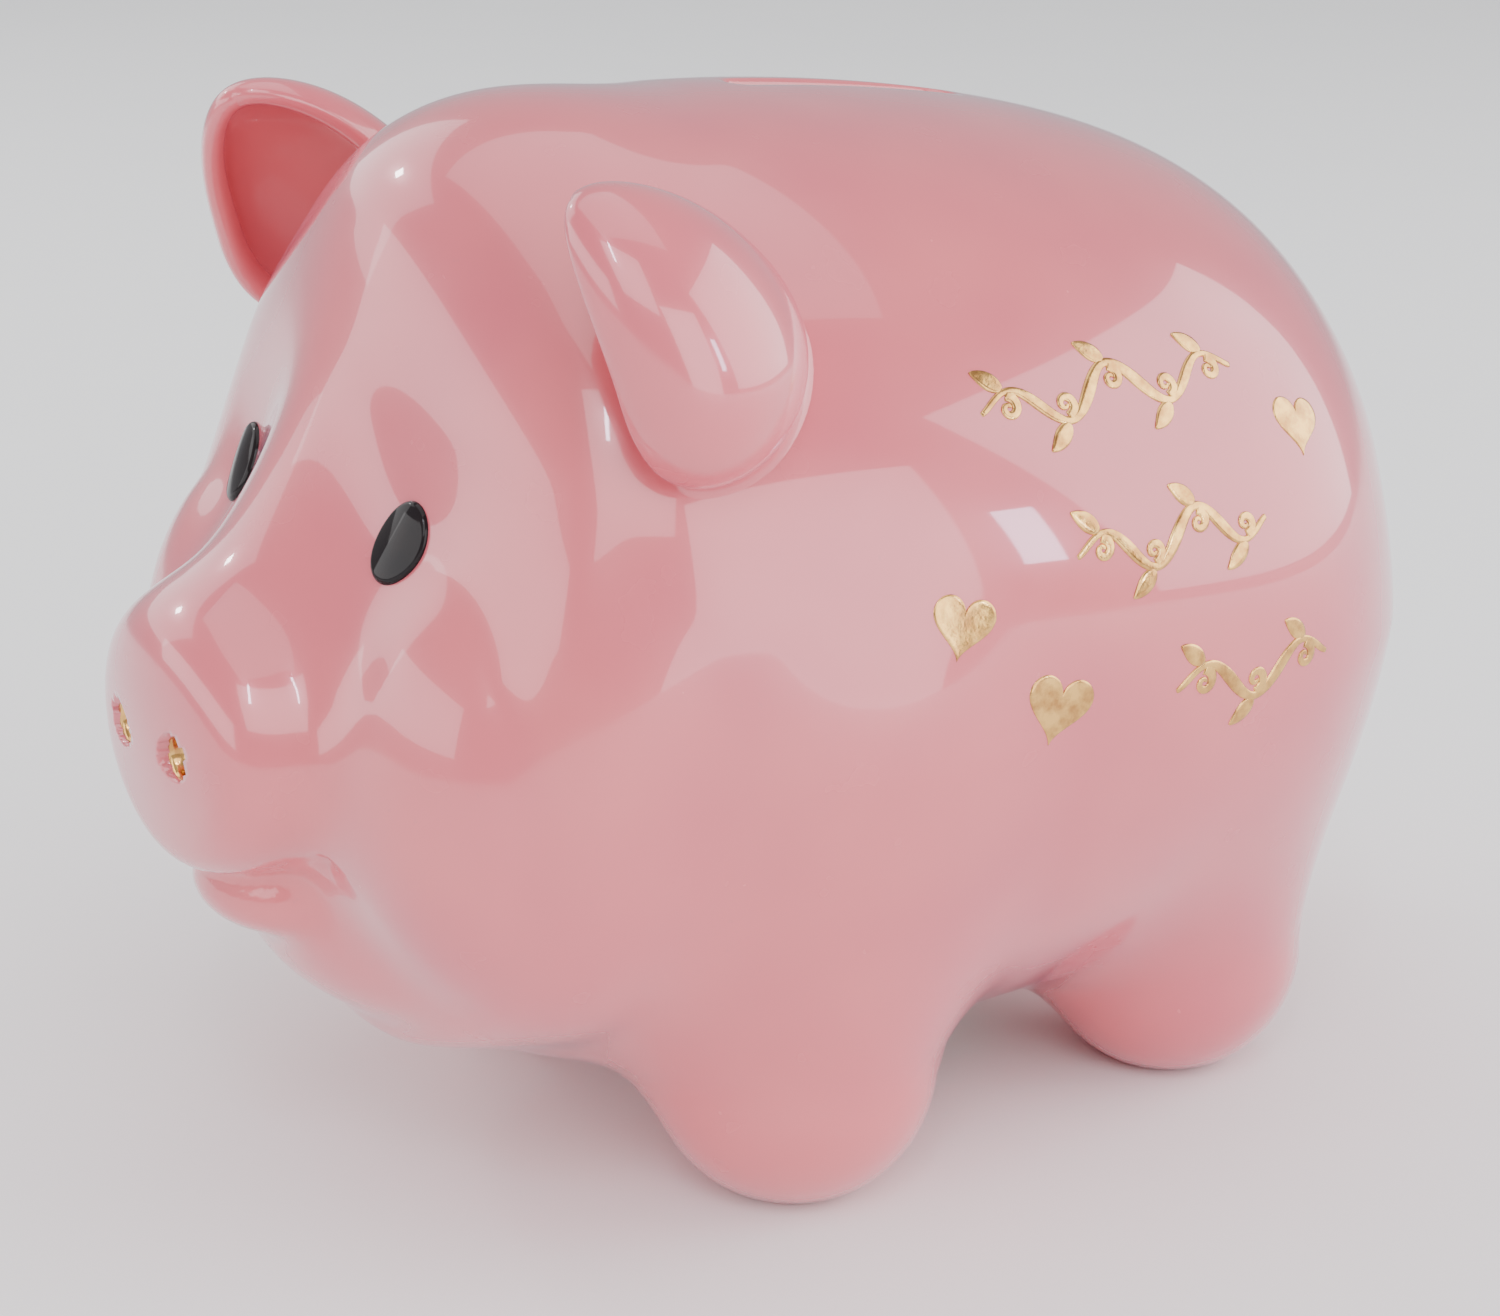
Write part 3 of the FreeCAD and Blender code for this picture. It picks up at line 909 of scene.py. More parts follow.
    def build(self) -> bpy.types.Object:
        """Build the whole body.

        Clay shows where a vertex lies deeper than the glaze, and on the soles, which are wiped.

        Returns:
            The body, with the point value "bare" where clay shows.
        """
        parts = MeshParts()
        slot_out, well_out = self.skin(parts, *self.outside_grid, 0.0)
        slot_in, well_in = self.skin(parts, *self.inside_grid, self.wall)
        parts.add_sleeve([slot_out, slot_in], flip=True)
        i, j = square_ring(self.hole)
        rings = [well_out]
        for radius, height in self.well_profile:
            plan = self.well.outline(i / self.hole, j / self.hole, radius - self.well.radius)
            points = np.concatenate([plan, np.full((len(plan), 1), height)], axis=1)
            rings.append(parts.add_points(points))
        parts.add_sleeve(rings + [well_in], flip=True)
        body = parts.build("body_casting")
        place = read_points(body)
        start, run = self.glaze_depth
        depth = np.clip((-self.form.level(place) - start) / run, 0.0, 1.0)
        height, fade = self.wiped_height
        ground = np.clip((height - place[:, 2]) / fade, 0.0, 1.0)
        middle = (place[:, 1] > FORE_START) & (place[:, 1] < HIND_START)
        set_point_values(body, "bare", np.maximum(np.where(middle, depth, 0.0), ground))
        return body


# --------------------------------------------------------------------------- ears


@dataclass(frozen=True)
class EarAxes:
    """Where the left ear stands and which way it leans and faces."""

    centre: tuple[float, float, float] = (46.9, -43.0, 121.3)
    tipward: tuple[float, float, float] = (0.036, -0.517, 0.855)
    facing: tuple[float, float, float] = (-0.809, -0.518, -0.279)

    def matrix(self) -> Array:
        """Rows: the directions across the ear, the way it faces, and towards its tip."""
        tip = unit(np.array(self.tipward))
        across = unit(np.cross(np.array(self.facing), tip))
        return np.stack([across, np.cross(tip, across), tip])


@dataclass
class Ear:
    """One pressed ear: an egg-shaped dish with a thick soft rim, luted to the head.

    Every size is that of the left ear; the right one is its mirror image.
    """

    form: BodyForm
    axes: EarAxes = EarAxes()
    half_length: float = 18.9
    half_width: float = 14.6
    half_thick: float = 10.2
    taper: float = 0.42
    bluntness: float = 3.0
    curl: float = 4.1
    shell: float = 3.2
    fill: float = 2.1
    rim_angle: float = math.radians(110.0)
    fillet: float = 2.6
    fillet_rows: int = 8
    fillet_share: float = 0.9
    sink: float = 0.12
    buried: float = 1.2
    rim_step: float = 0.02
    wall_step: float = 0.01
    root_search: tuple[float, float] = (-0.995, 0.6)
    halvings: int = 24
    rows: int = 56
    arc: int = 56
    cap: int = 12

    def dish(self, share: Array, angle: Array, inward: Array) -> Array:
        """Points of the dish in the ear's own axes.

        Formula: an ellipse whose half sizes shrink as the root of 1 - share^2 times a taper, less
        the depth into the clay, with its middle curled forward by the square of the share. On the
        tip's side a higher power than the square makes the end blunt.

        Args:
            share: Place along the ear, -1 at the root's end and 1 at the tip.
            angle: Angle from the middle of the back.
            inward: Depth under the outer face.

        Returns:
            Points (across, forward, tipward) in millimetres.
        """
        blunt = 1.0 - np.where(share > 0.0, np.abs(share) ** self.bluntness, share**2)
        girth = np.sqrt(np.maximum(blunt, 0.0)) * (1.0 - self.taper * share)
        across = (self.half_width - inward) * girth * np.sin(angle)
        forward = -(self.half_thick - self.fill * inward) * girth * np.cos(angle)
        forward = forward + self.curl * np.maximum(share, 0.0) ** 2
        return np.stack([across, forward, (self.half_length - inward) * share], axis=-1)

    def section(self, share: Array) -> Array:
        """Closed loops of the ear's wall: outer face, rim, inner face, rim.

        Args:
            share: Place along the ear, one row for each loop and one column for each loop point,
                or anything that spreads to that.

        Returns:
            Points in the ear's own axes.
        """
        share = np.broadcast_to(share, (share.shape[0], self.loop_count()))
        faces, rims = self.arc, self.cap
        wide = np.linspace(-self.rim_angle, self.rim_angle, faces + 1)
        swing = np.linspace(0.0, math.pi, rims + 1)[1:-1]
        outer = self.dish(share[:, :faces + 1], wide, np.zeros(faces + 1))
        start = faces + 1
        first = self.rim(share[:, start:start + rims - 1], self.rim_angle, swing)
        start += rims - 1
        inner = self.dish(share[:, start:start + faces + 1], wide[::-1], np.full(faces + 1, self.shell))
        start += faces + 1
        second = self.rim(share[:, start:], -self.rim_angle, swing[::-1])
        return np.concatenate([outer, first, inner, second], axis=1)

    def loop_count(self) -> int:
        """Number of points in each closed loop."""
        return 2 * (self.arc + 1) + 2 * (self.cap - 1)

    def rim(self, share: Array, angle: float, swing: Array) -> Array:
        """Half-round edge between the outer and the inner face.

        Formula: the middle of the wall, plus half the wall turned from the outer face to the inner
        one by way of the direction in which the dish would go on.

        Args:
            share: Place along the ear, one column for each point round the edge.
            angle: Angle of the rim.
            swing: Turns from the outer face, 0, to the inner one, half a turn.

        Returns:
            Points in the ear's own axes.
        """
        flush = np.zeros(share.shape)
        outer = self.dish(share, np.full(share.shape, angle), flush)
        inner = self.dish(share, np.full(share.shape, angle), flush + self.shell)
        beyond = angle + np.sign(angle) * self.rim_step
        onward = self.dish(share, np.full(share.shape, beyond), flush) - outer
        onward[..., 0] *= np.sqrt(np.maximum(1.0 - share**2, 0.0))
        onward = unit(onward + np.array([0.0, TINY, 0.0]))
        half = (outer - inner) / 2.0
        bulge = np.linalg.norm(half, axis=-1, keepdims=True) * onward
        swing = swing[None, :, None]
        return (outer + inner) / 2.0 + half * np.cos(swing) + bulge * np.sin(swing)

    def place(self, local: Array) -> Array:
        """Points of the ear's own axes, in the frame."""
        return np.array(self.axes.centre) + local @ self.axes.matrix()

    def root_shares(self) -> Array:
        """Place along the ear at which each column of the wall meets the head, by halving.

        Returns:
            One row, with a place for each loop point.
        """
        low, high = (np.full((1, self.loop_count()), end) for end in self.root_search)
        for _ in range(self.halvings):
            middle = (low + high) / 2.0
            inside = self.form.level(self.place(self.section(middle))) < 0.0
            low = np.where(inside, middle, low)
            high = np.where(inside, high, middle)
        return (low + high) / 2.0

    def build(self, name: str, side: float) -> bpy.types.Object:
        """Build one ear with the fillet that joins it to the head.

        Formula of the fillet: a parabola whose corner is the line where wall and head meet, with
        one leg up the wall and the other along the head.

        Args:
            name: Name of the piece.
            side: 1 for the left ear and -1 for the right.

        Returns:
            The ear.
        """
        root = self.root_shares()
        up = np.sin(np.linspace(0.0, math.pi / 2.0, self.rows + 1))[:, None]
        start = root + self.fillet / self.half_length
        wall = self.place(self.section(start + (1.0 - start) * up))
        meet = self.place(self.section(root))[0]
        above = self.place(self.section(root + self.wall_step))[0]
        column = unit(np.roll(meet, -2, axis=0) - np.roll(meet, 2, axis=0))
        facing = unit(np.cross(column, above - meet))
        head = self.form.normal_at(meet)
        away = unit(facing - np.sum(facing * head, axis=-1, keepdims=True) * head)
        away *= self.outward_sign(meet, facing)
        foot = meet + away * self.fillet * self.fillet_share
        foot -= head * np.maximum(self.form.level(foot), 0.0)[:, None]
        foot -= head * self.sink
        t = np.linspace(0.0, 1.0, self.fillet_rows)[:, None, None]
        fillet = (1.0 - t) ** 2 * foot + 2.0 * t * (1.0 - t) * meet + t**2 * wall[0]
        buried = foot - head * self.buried
        parts = MeshParts()
        rows = np.concatenate([buried[None], fillet[:-1], wall])
        rows[..., 0] *= side
        index = parts.add_points(rows)
        parts.add_grid(index, closed=True)
        self.close_root(parts, index[0])
        return parts.build(name)

    def outward_sign(self, meet: Array, facing: Array) -> Array:
        """1 where the wall's computed facing points out of the clay, and -1 where into it.

        Args:
            meet: Points where the wall meets the head.
            facing: Computed facings of the wall.

        Returns:
            The sign, one row for each point.
        """
        middle = self.arc // 2
        back = -self.axes.matrix()[1]
        return np.sign(np.sum(facing[middle] * back)) * np.ones((len(meet), 1))

    def close_root(self, parts: MeshParts, ring: Array) -> None:
        """Close the buried end with a strip between the outer and the inner face.

        Args:
            parts: Mesh to add to.
            ring: Vertex indices of the buried loop.
        """
        outer = ring[:self.arc + 1]
        inner = ring[self.arc + self.cap:2 * self.arc + self.cap + 1][::-1]
        parts.add_grid(np.stack([outer, inner]), flip=True)
        parts.add_cap(ring[self.arc:self.arc + self.cap + 1])
        parts.add_cap(np.append(ring[2 * self.arc + self.cap:], ring[0]))


# --------------------------------------------------------------------------- tail


@dataclass
class Tail:
    """A rolled tail: a tapering coil that leaves the rump and curls once."""

    up: float = 86.0
    along: float = 80.2
    coil: float = 5.3
    thick: float = 2.75
    thin: float = 1.25
    rise: float = 6.6
    buried: float = 3.0
    turns: float = 1.22
    start: float = math.radians(-60.0)
    tightening: float = 0.32
    thinning: float = 1.3
    spring: float = 0.75
    rows: int = 110
    around: int = 24

    def path(self, t: Array) -> Array:
        """Middle line of the roll: a coil that tightens as it leaves the rump.

        Formula: the angle grows evenly, the radius shrinks by a third, and the place along the
        body grows with a power of the share below one, so the tail springs straight out first.

        Args:
            t: Shares along the tail, from 0 to 1.

        Returns:
            Points in millimetres.
        """
        angle = self.start + t * self.turns * 2.0 * math.pi
        radius = self.coil * (1.0 - self.tightening * t)
        along = self.along - self.buried + (self.rise + self.buried) * t**self.spring
        return np.stack([radius * np.cos(angle), along, self.up + radius * np.sin(angle)], axis=-1)

    def build(self) -> bpy.types.Object:
        """Sweep a shrinking circle along the path, with a round tip.

        Formula: each ring is the path plus the radius times the cosine and sine of the turn along
        two directions square to the path; near the tip the radius falls as a quarter circle.

        Returns:
            The tail.
        """
        t = np.linspace(0.0, 1.0, self.rows + 1)
        middle = self.path(t)
        onward = unit(np.gradient(middle, axis=0))
        side = unit(np.cross(onward, np.array([0.0, 1.0, 0.0])))
        lift = np.cross(side, onward)
        radius = self.thick + (self.thin - self.thick) * t**self.thinning
        left = (1.0 - t) * np.linalg.norm(np.diff(middle, axis=0), axis=1).sum() / self.thin
        radius = radius * np.sqrt(np.clip(1.0 - (1.0 - np.minimum(left, 1.0)) ** 2, 0.0, 1.0))
        turn = np.linspace(0.0, 2.0 * math.pi, self.around, endpoint=False)[None, :, None]
        rings = side[:, None] * np.cos(turn) + lift[:, None] * np.sin(turn)
        rings = middle[:, None] + rings * radius[:, None, None]
        parts = MeshParts()
        index = parts.add_points(rings[:-1])
        parts.add_grid(index, closed=True)
        parts.add_fan(index[0], middle[0])
        parts.add_fan(index[-1], middle[-1], flip=True)
        return parts.build("tail_roll")


# --------------------------------------------------------------------------- eyes and gold


def tangent_axes(outward: Sequence[float], tilt: float = 0.0) -> tuple[Array, Array]:
    """Directions sideways and upwards in the plane square to an outward direction.

    Args:
        outward: The outward direction.
        tilt: Turn about that direction, in radians, anticlockwise seen from outside.

    Returns:
        The sideways and the upward direction.
    """
    out = unit(np.array(outward))
    side = unit(np.cross(np.array([0.0, 0.0, 1.0]), out))
    rise = np.cross(out, side)
    return side * math.cos(tilt) + rise * math.sin(tilt), rise * math.cos(tilt) - side * math.sin(tilt)


@dataclass
class Eye:
    """A raised oval of black enamel with a thin bevelled edge."""

    form: BodyForm
    centre: tuple[float, float, float] = (21.3, -65.2, 91.9)
    outward: tuple[float, float, float] = (-0.082, -0.891, 0.446)
    half_width: float = 3.8
    half_height: float = 5.4
    height: float = 1.5
    bevel: float = 0.5
    bevel_share: float = 0.1
    sink: float = 0.5
    around: int = 72
    dome_shares: tuple[float, float, int] = (0.04, 0.88, 16)
    edge_shares: tuple[float, float, int] = (0.9, 1.0, 11)
    tilt: float = math.radians(9.0)

    def profile(self, share: Array) -> Array:
        """Height over the glaze: a steep bevel at the edge, then a low dome.

        Formula: the bevel rises as a quarter circle over the last tenth, and the dome adds what is
        left times 1 - share^2.
        """
        edge = np.clip((1.0 - share) / self.bevel_share, 0.0, 1.0)
        dome = (self.height - self.bevel) * (1.0 - share**2)
        return self.bevel * np.sqrt(1.0 - (1.0 - edge) ** 2) + dome

    def build(self, name: str, side: float) -> bpy.types.Object:
        """Lay a disc of rings on the head, lift it by the profile and close it underneath.

        Args:
            name: Name of the piece.
            side: 1 for the left eye and -1 for the right.

        Returns:
            The eye.
        """
        e1, e2 = tangent_axes(self.outward, -self.tilt)
        patch = Patch(self.form, np.array(self.centre), e1, e2)
        share = np.concatenate([np.linspace(*self.dome_shares), np.linspace(*self.edge_shares)])[:, None]
        turn = np.linspace(0.0, WHOLE_TURN, self.around, endpoint=False)[None]
        sideways = self.half_width * share * np.cos(turn)
        upwards = self.half_height * share * np.sin(turn)
        flat = np.stack([sideways, upwards], axis=-1)
        ground, normal = patch.lay(flat)
        lifted = ground + normal * self.profile(share)[..., None]
        last_rise = self.profile(np.zeros(1)) - self.profile(share[0])
        top = lifted[0].mean(axis=0) + normal[0, 0] * last_rise
        under = ground[-1] - normal[-1] * self.sink
        rows = np.concatenate([lifted, under[None]])
        for points in (rows, top):
            points[..., 0] *= side
        parts = MeshParts()
        index = parts.add_points(rows)
        parts.add_grid(index, closed=True)
        parts.add_fan(index[0], top)
        parts.add_fan(index[-1], rows[-1].mean(axis=0), flip=True)
        return parts.build(name)


@dataclass
class Nostril:
    """Gold lustre lining one dimple of the snout, with a narrow lip on the glaze."""

    dimple: Lump = Lump((7.2, -90.0, 66.0), (2.45, 2.5, 2.45), 0.8)
    front: float = -90.0
    apart: float = 1.3
    farthest: float = 7.5
    film: float = 0.12
    sink: float = 0.1
    narrowest: float = 0.03
    widest: float = math.radians(68.5)
    edge_power: int = 8
    rings: int = 26
    around: int = 48
    halvings: int = 24

    def reach(self, away: Array) -> Array:
        """Length of each ray from a point before the dimple to the glaze, by halving.

        Formula: the glaze is the softened meeting of the snout's flat front and the dimple.

        Args:
            away: Directions of the rays.

        Returns:
            Lengths in millimetres.
        """
        low = np.zeros(away.shape[:-1])
        high = np.full(away.shape[:-1], self.farthest)
        for _ in range(self.halvings):
            middle = (low + high) / 2.0
            points = self.eyepoint() + middle[..., None] * away
            hollow = -ellipsoid_distance(points, self.dimple.centre, self.dimple.radii)
            clay = soft_max(self.front - points[..., 1], hollow, self.dimple.blend) < 0.0
            high = np.where(clay, middle, high)
            low = np.where(clay, low, middle)
        return (low + high) / 2.0

    def eyepoint(self) -> Array:
        """The point before the dimple that the rays leave from."""
        return np.array(self.dimple.centre) - np.array([0.0, self.apart, 0.0])

    def build(self, name: str, side: float) -> bpy.types.Object:
        """Lay rings of gold down the dimple, a film's thickness over the glaze.

        Args:
            name: Name of the piece.
            side: 1 for the left nostril and -1 for the right.

        Returns:
            The gold lining.
        """
        tilt = np.linspace(self.narrowest, self.widest, self.rings)[:, None]
        turn = np.linspace(0.0, WHOLE_TURN, self.around, endpoint=False)[None]
        inwards = np.cos(tilt) + np.zeros_like(turn)
        away = np.stack([np.sin(tilt) * np.cos(turn), inwards, np.sin(tilt) * np.sin(turn)], axis=-1)
        reach = self.reach(away)[..., None]
        share = np.linspace(0.0, 1.0, self.rings)[:, None, None]
        cover = self.film * np.sqrt(1.0 - share**self.edge_power)
        lifted = self.eyepoint() + (reach - cover) * away
        under = self.eyepoint() + (reach[::-1] + self.sink) * away[::-1]
        rows = np.concatenate([lifted, under])
        rows[..., 0] *= side
        parts = MeshParts()
        index = parts.add_points(rows)
        parts.add_grid(index, closed=True)
        parts.add_fan(index[0], rows[0].mean(axis=0))
        parts.add_fan(index[-1], rows[-1].mean(axis=0), flip=True)
        return parts.build(name)


@dataclass
class GoldFilm:
    """Strokes and shapes of gold lustre laid on the left flank."""

    form: BodyForm
    centre: tuple[float, float, float]
    outward: tuple[float, float, float]
    tilt: float = 0.0
    film: float = 0.2
    sink: float = 0.12
    edge_sink: float = 0.02

    def patch(self) -> Patch:
        """Flat coordinates round the centre: forward along the flank, and up."""
        e1, e2 = tangent_axes(self.outward, self.tilt)
        return Patch(self.form, np.array(self.centre), e1, e2)

    def add_sheet(self, parts: MeshParts, flat: Array, level: Array) -> None:
        """Add one closed film over a grid of flat points.

        Args:
            parts: Mesh to add to.
            flat: Flat points, in rows along the stroke and columns across it.
            level: Share of the film's thickness over each point, 0 along every edge.
        """
        ground, normal = self.patch().lay(flat)
        cover = level[..., None]
        top = parts.add_points(ground + normal * (self.film * cover - self.edge_sink * (cover <= 0.0)))
        low = parts.add_points(ground - normal * self.sink)
        parts.add_grid(top)
        parts.add_grid(low, flip=True)
        around_top = np.concatenate([top[:-1, 0], top[-1, :-1], top[:0:-1, -1], top[0, :0:-1]])
        around_low = np.concatenate([low[:-1, 0], low[-1, :-1], low[:0:-1, -1], low[0, :0:-1]])
        parts.add_grid(np.stack([around_low, around_top]), closed=True, flip=True)


@dataclass
class GoldHeart(GoldFilm):
    """A heart of gold lustre."""

    size: float = 9.0
    middle: float = 0.12
    fine_steps: int = 1441
    around: int = 96
    face_shares: tuple[float, float, int] = (0.08, 0.9, 10)
    edge_shares: tuple[float, float, int] = (0.92, 1.0, 6)
    edge_power: int = 14

    def outline(self) -> Array:
        """Heart outline round its middle, in even steps of length.

        Formula: x = sin^3, and y = (13 cos - 5 cos 2 - 2 cos 3 - cos 4) / 16 of the turn, taken at
        many turns and then at even steps along that line.

        Returns:
            Flat points, one for each step.
        """
        turn = np.linspace(0.0, 2.0 * math.pi, self.fine_steps)
        x = np.sin(turn) ** 3
        lobes = 13.0 * np.cos(turn) - 5.0 * np.cos(2 * turn)
        y = (lobes - 2.0 * np.cos(3 * turn) - np.cos(4 * turn)) / 16.0
        line = np.stack([x, y + self.middle], axis=-1) * self.size / 2.0
        length = np.concatenate([[0.0], np.cumsum(np.linalg.norm(np.diff(line, axis=0), axis=1))])
        steps = np.linspace(0.0, length[-1], self.around, endpoint=False)
        return np.stack([np.interp(steps, length, column) for column in line.T], axis=-1)

    def build(self, name: str) -> bpy.types.Object:
        """Lay rings of the outline, shrinking to the middle, and close them underneath.

        Args:
            name: Name of the piece.

        Returns:
            The heart.
        """
        share = np.concatenate([np.linspace(*self.face_shares), np.linspace(*self.edge_shares)])
        flat = share[:, None, None] * self.outline()[None]
        ground, normal = self.patch().lay(flat)
        level = np.sqrt(np.clip(1.0 - share**self.edge_power, 0.0, 1.0))[:, None, None]
        under = ground[-1:] - normal[-1:] * self.sink
        rows = np.concatenate([ground + normal * self.film * level, under])
        parts = MeshParts()
        index = parts.add_points(rows)
        parts.add_grid(index, closed=True)
        parts.add_fan(index[0], rows[0].mean(axis=0))
        parts.add_fan(index[-1], rows[-1].mean(axis=0), flip=True)
        return parts.build(name)


@dataclass
class GoldScroll(GoldFilm):
    """A running vine of gold lustre: a waving stem with a curl and a leaf at each crest.

    The powers and shares in its methods are the swell and taper of a brush stroke.
    """

    length: float = 34.0
    swing: float = 3.2
    crests: int = 5
    stroke: float = 1.9
    fade: float = 0.35
    stem_rows: int = 150
    tendril_rows: int = 70
    leaf_rows: int = 26
    tendril_length: float = 1.364
    tendril_turns: float = 1.25
    tendril_stroke: float = 0.85
    tendril_tightening: float = 1.15
    tendril_shortening: float = 0.82
    tendril_slope: float = 0.35
    tendril_taper: float = 0.75
    root_depth: float = 0.2
    stem_taper: tuple[float, float, float] = (0.3, 0.7, 0.6)
    stem_swell: tuple[float, float] = (0.72, 0.28)
    stroke_lines: tuple[float, ...] = (-1.0, -0.92, -0.7, -0.3, 0.3, 0.7, 0.92, 1.0)
    stroke_power: int = 6
    leaf_width: float = 2.3
    leaf_powers: tuple[float, float] = (0.7, 0.8)
    leaf_least: float = 0.12
    leaf_along: tuple[float, float] = (-0.2, -3.6)
    leaf_across: tuple[float, float, float] = (0.2, 4.2, -1.2)
    fine_steps: int = 241

    def stem(self, t: Array) -> Array:
        """Middle line of the stem: a sine wave that dies away at both ends."""
        fade = np.sin(math.pi * np.clip(t, 0.0, 1.0)) ** self.fade
        wave = self.swing * fade * np.sin(math.pi * self.crests * t)
        return np.stack([(t - 0.5) * self.length, wave], axis=-1)

    def curl(self, start: Array, heading: float, hand: float, size: float) -> Line:
        """A spiral tendril that leaves a point of the stem.

        Formula: the direction turns by one and a quarter whole turns while the step shortens evenly.

        Args:
            start: The stem's point, in flat coordinates.
            heading: Direction in which the tendril leaves, in radians.
            hand: 1 where it curls anticlockwise and -1 where clockwise.
            size: Length it would have if its steps didn't shorten.

        Returns:
            The tendril's line, for shares from 0 to 1.
        """
        def line(t: Array) -> Array:
            """Points along the tendril for shares from 0 to 1, summed from many small steps."""
            fine = np.linspace(0.0, 1.0, self.fine_steps)
            angle = heading + hand * 2.0 * math.pi * self.tendril_turns * fine**self.tendril_tightening
            pace = size * (1.0 - self.tendril_shortening * fine)[:, None] / (self.fine_steps - 1)
            steps = np.stack([np.cos(angle), np.sin(angle)], axis=-1) * pace
            points = start + np.concatenate([np.zeros((1, 2)), np.cumsum(steps[:-1], axis=0)])
            return np.stack([np.interp(t, fine, column) for column in points.T], axis=-1)

        return line

    def brush(self, parts: MeshParts, line: Line, width: Line, rows: int) -> None:
        """Lay one brush stroke: a line with a width, thick in the middle and thin at its edges.

        Args:
            parts: Mesh to add to.
            line: Flat points along the stroke for shares from 0 to 1.
            width: Full width of the stroke for those shares.
            rows: Steps along the stroke.
        """
        t = np.linspace(0.0, 1.0, rows + 1)
        middle = line(t)
        onward = unit(np.gradient(middle, axis=0))
        across = np.stack([-onward[:, 1], onward[:, 0]], axis=-1)
        reach = np.array(self.stroke_lines)
        flat = middle[:, None] + across[:, None] * (reach[:, None] * (width(t) / 2.0)[:, None, None])
        level = np.sqrt(np.clip(1.0 - reach**self.stroke_power, 0.0, 1.0))[None] * np.ones((rows + 1, 1))
        level[0] = level[-1] = 0.0
        self.add_sheet(parts, flat, level)

    def build(self, name: str) -> bpy.types.Object:
        """Lay the stem, then a tendril and a leaf at each crest.

        Args:
            name: Name of the piece.

        Returns:
            The vine.
        """
        parts = MeshParts()
        self.brush(parts, self.stem, self.stem_width, self.stem_rows)
        for crest in range(self.crests):
            share = (crest + 0.5) / self.crests
            side = 1.0 if crest % 2 == 0 else -1.0
            start = self.stem(np.array([share]))[0]
            root = start - np.array([0.0, side * self.stroke * self.root_depth])
            size = self.length * self.tendril_length / self.crests
            tendril = self.curl(root, -side * self.tendril_slope, -side, size)
            self.brush(parts, tendril, self.tendril_width, self.tendril_rows)
            self.brush(parts, self.leaf(start, side), self.leaf_breadth, self.leaf_rows)
        return parts.build(name)

    def stem_width(self, t: Array) -> Array:
        """Width of the stem: thin at both ends, and swelling at each crest."""
        base, wave = self.stem_swell
        end, middle, power = self.stem_taper
        swell = base + wave * np.cos(2 * math.pi * self.crests * t)
        return self.stroke * (end + middle * np.sin(math.pi * t) ** power * swell)

    def tendril_width(self, t: Array) -> Array:
        """Width of a tendril, which thins evenly to a quarter."""
        return self.stroke * self.tendril_stroke * (1.0 - self.tendril_taper * t)

    def leaf_breadth(self, t: Array) -> Array:
        """Width of a leaf: a half wave, fullest near its base."""
        skew, fullness = self.leaf_powers
        return self.leaf_width * np.sin(math.pi * t**skew) ** fullness + self.leaf_least

    def leaf(self, start: Array, side: float) -> Line:
        """Middle line of a leaf that springs outward from a crest and bends back.

        Args:
            start: The stem's point at the crest.
            side: 1 where the leaf grows upwards and -1 where downwards.

        Returns:
            The leaf's line, for shares from 0 to 1.
        """
        def line(t: Array) -> Array:
            """Points along the leaf for shares from 0 to 1."""
            back, back_run = self.leaf_along
            out, out_run, bend = self.leaf_across
            rise = out + out_run * t + bend * t**2
            return start + np.stack([back + back_run * t, side * rise], axis=-1)

        return line


# --------------------------------------------------------------------------- stopper


@dataclass
class Stopper:
    """The soft plug: flange with a finger grip, and a hollow stem with a holding bead."""

    along: float = 14.0
    around: int = 96
    profile: tuple[tuple[float, float], ...] = (
        (0.3, 11.4), (8.3, 11.4), (8.8, 11.15), (9.0, 10.6), (9.25, 10.15), (9.7, 10.0),
        (12.0, 10.0), (12.25, 10.25), (12.9, 10.25), (13.15, 10.0), (15.6, 10.0), (15.85, 10.25),
        (16.5, 10.25), (16.75, 10.0), (19.1, 10.0), (19.6, 10.2), (19.8, 10.7), (19.8, 12.4),
        (19.6, 12.85), (19.1, 13.0), (15.6, 13.0), (15.4, 13.2), (15.4, 18.2), (15.75, 18.6),
        (15.8, 18.9), (15.6, 19.5), (14.8, 21.5), (14.5, 21.9), (14.1, 22.0), (13.5, 22.0),
        (13.25, 21.8), (13.2, 21.4), (13.2, 14.4), (13.0, 14.1), (12.6, 14.0), (0.3, 14.0))

    def build(self) -> bpy.types.Object:
        """Turn the profile about the upright line through the middle of the well.

        Returns:
            The stopper.
        """
        radius, height = np.array(self.profile).T
        turn = np.linspace(0.0, 2.0 * math.pi, self.around, endpoint=False)
        rings = np.stack([radius[:, None] * np.cos(turn), self.along + radius[:, None] * np.sin(turn),
                          np.repeat(height[:, None], self.around, axis=1)], axis=-1)
        parts = MeshParts()
        index = parts.add_points(rings)
        parts.add_grid(index, closed=True)
        parts.add_fan(index[0], rings[0].mean(axis=0))
        parts.add_fan(index[-1], rings[-1].mean(axis=0), flip=True)
        return parts.build("rubber_stopper")


# --------------------------------------------------------------------------- finishes


NOISE_SPAN = (0.3, 0.7)


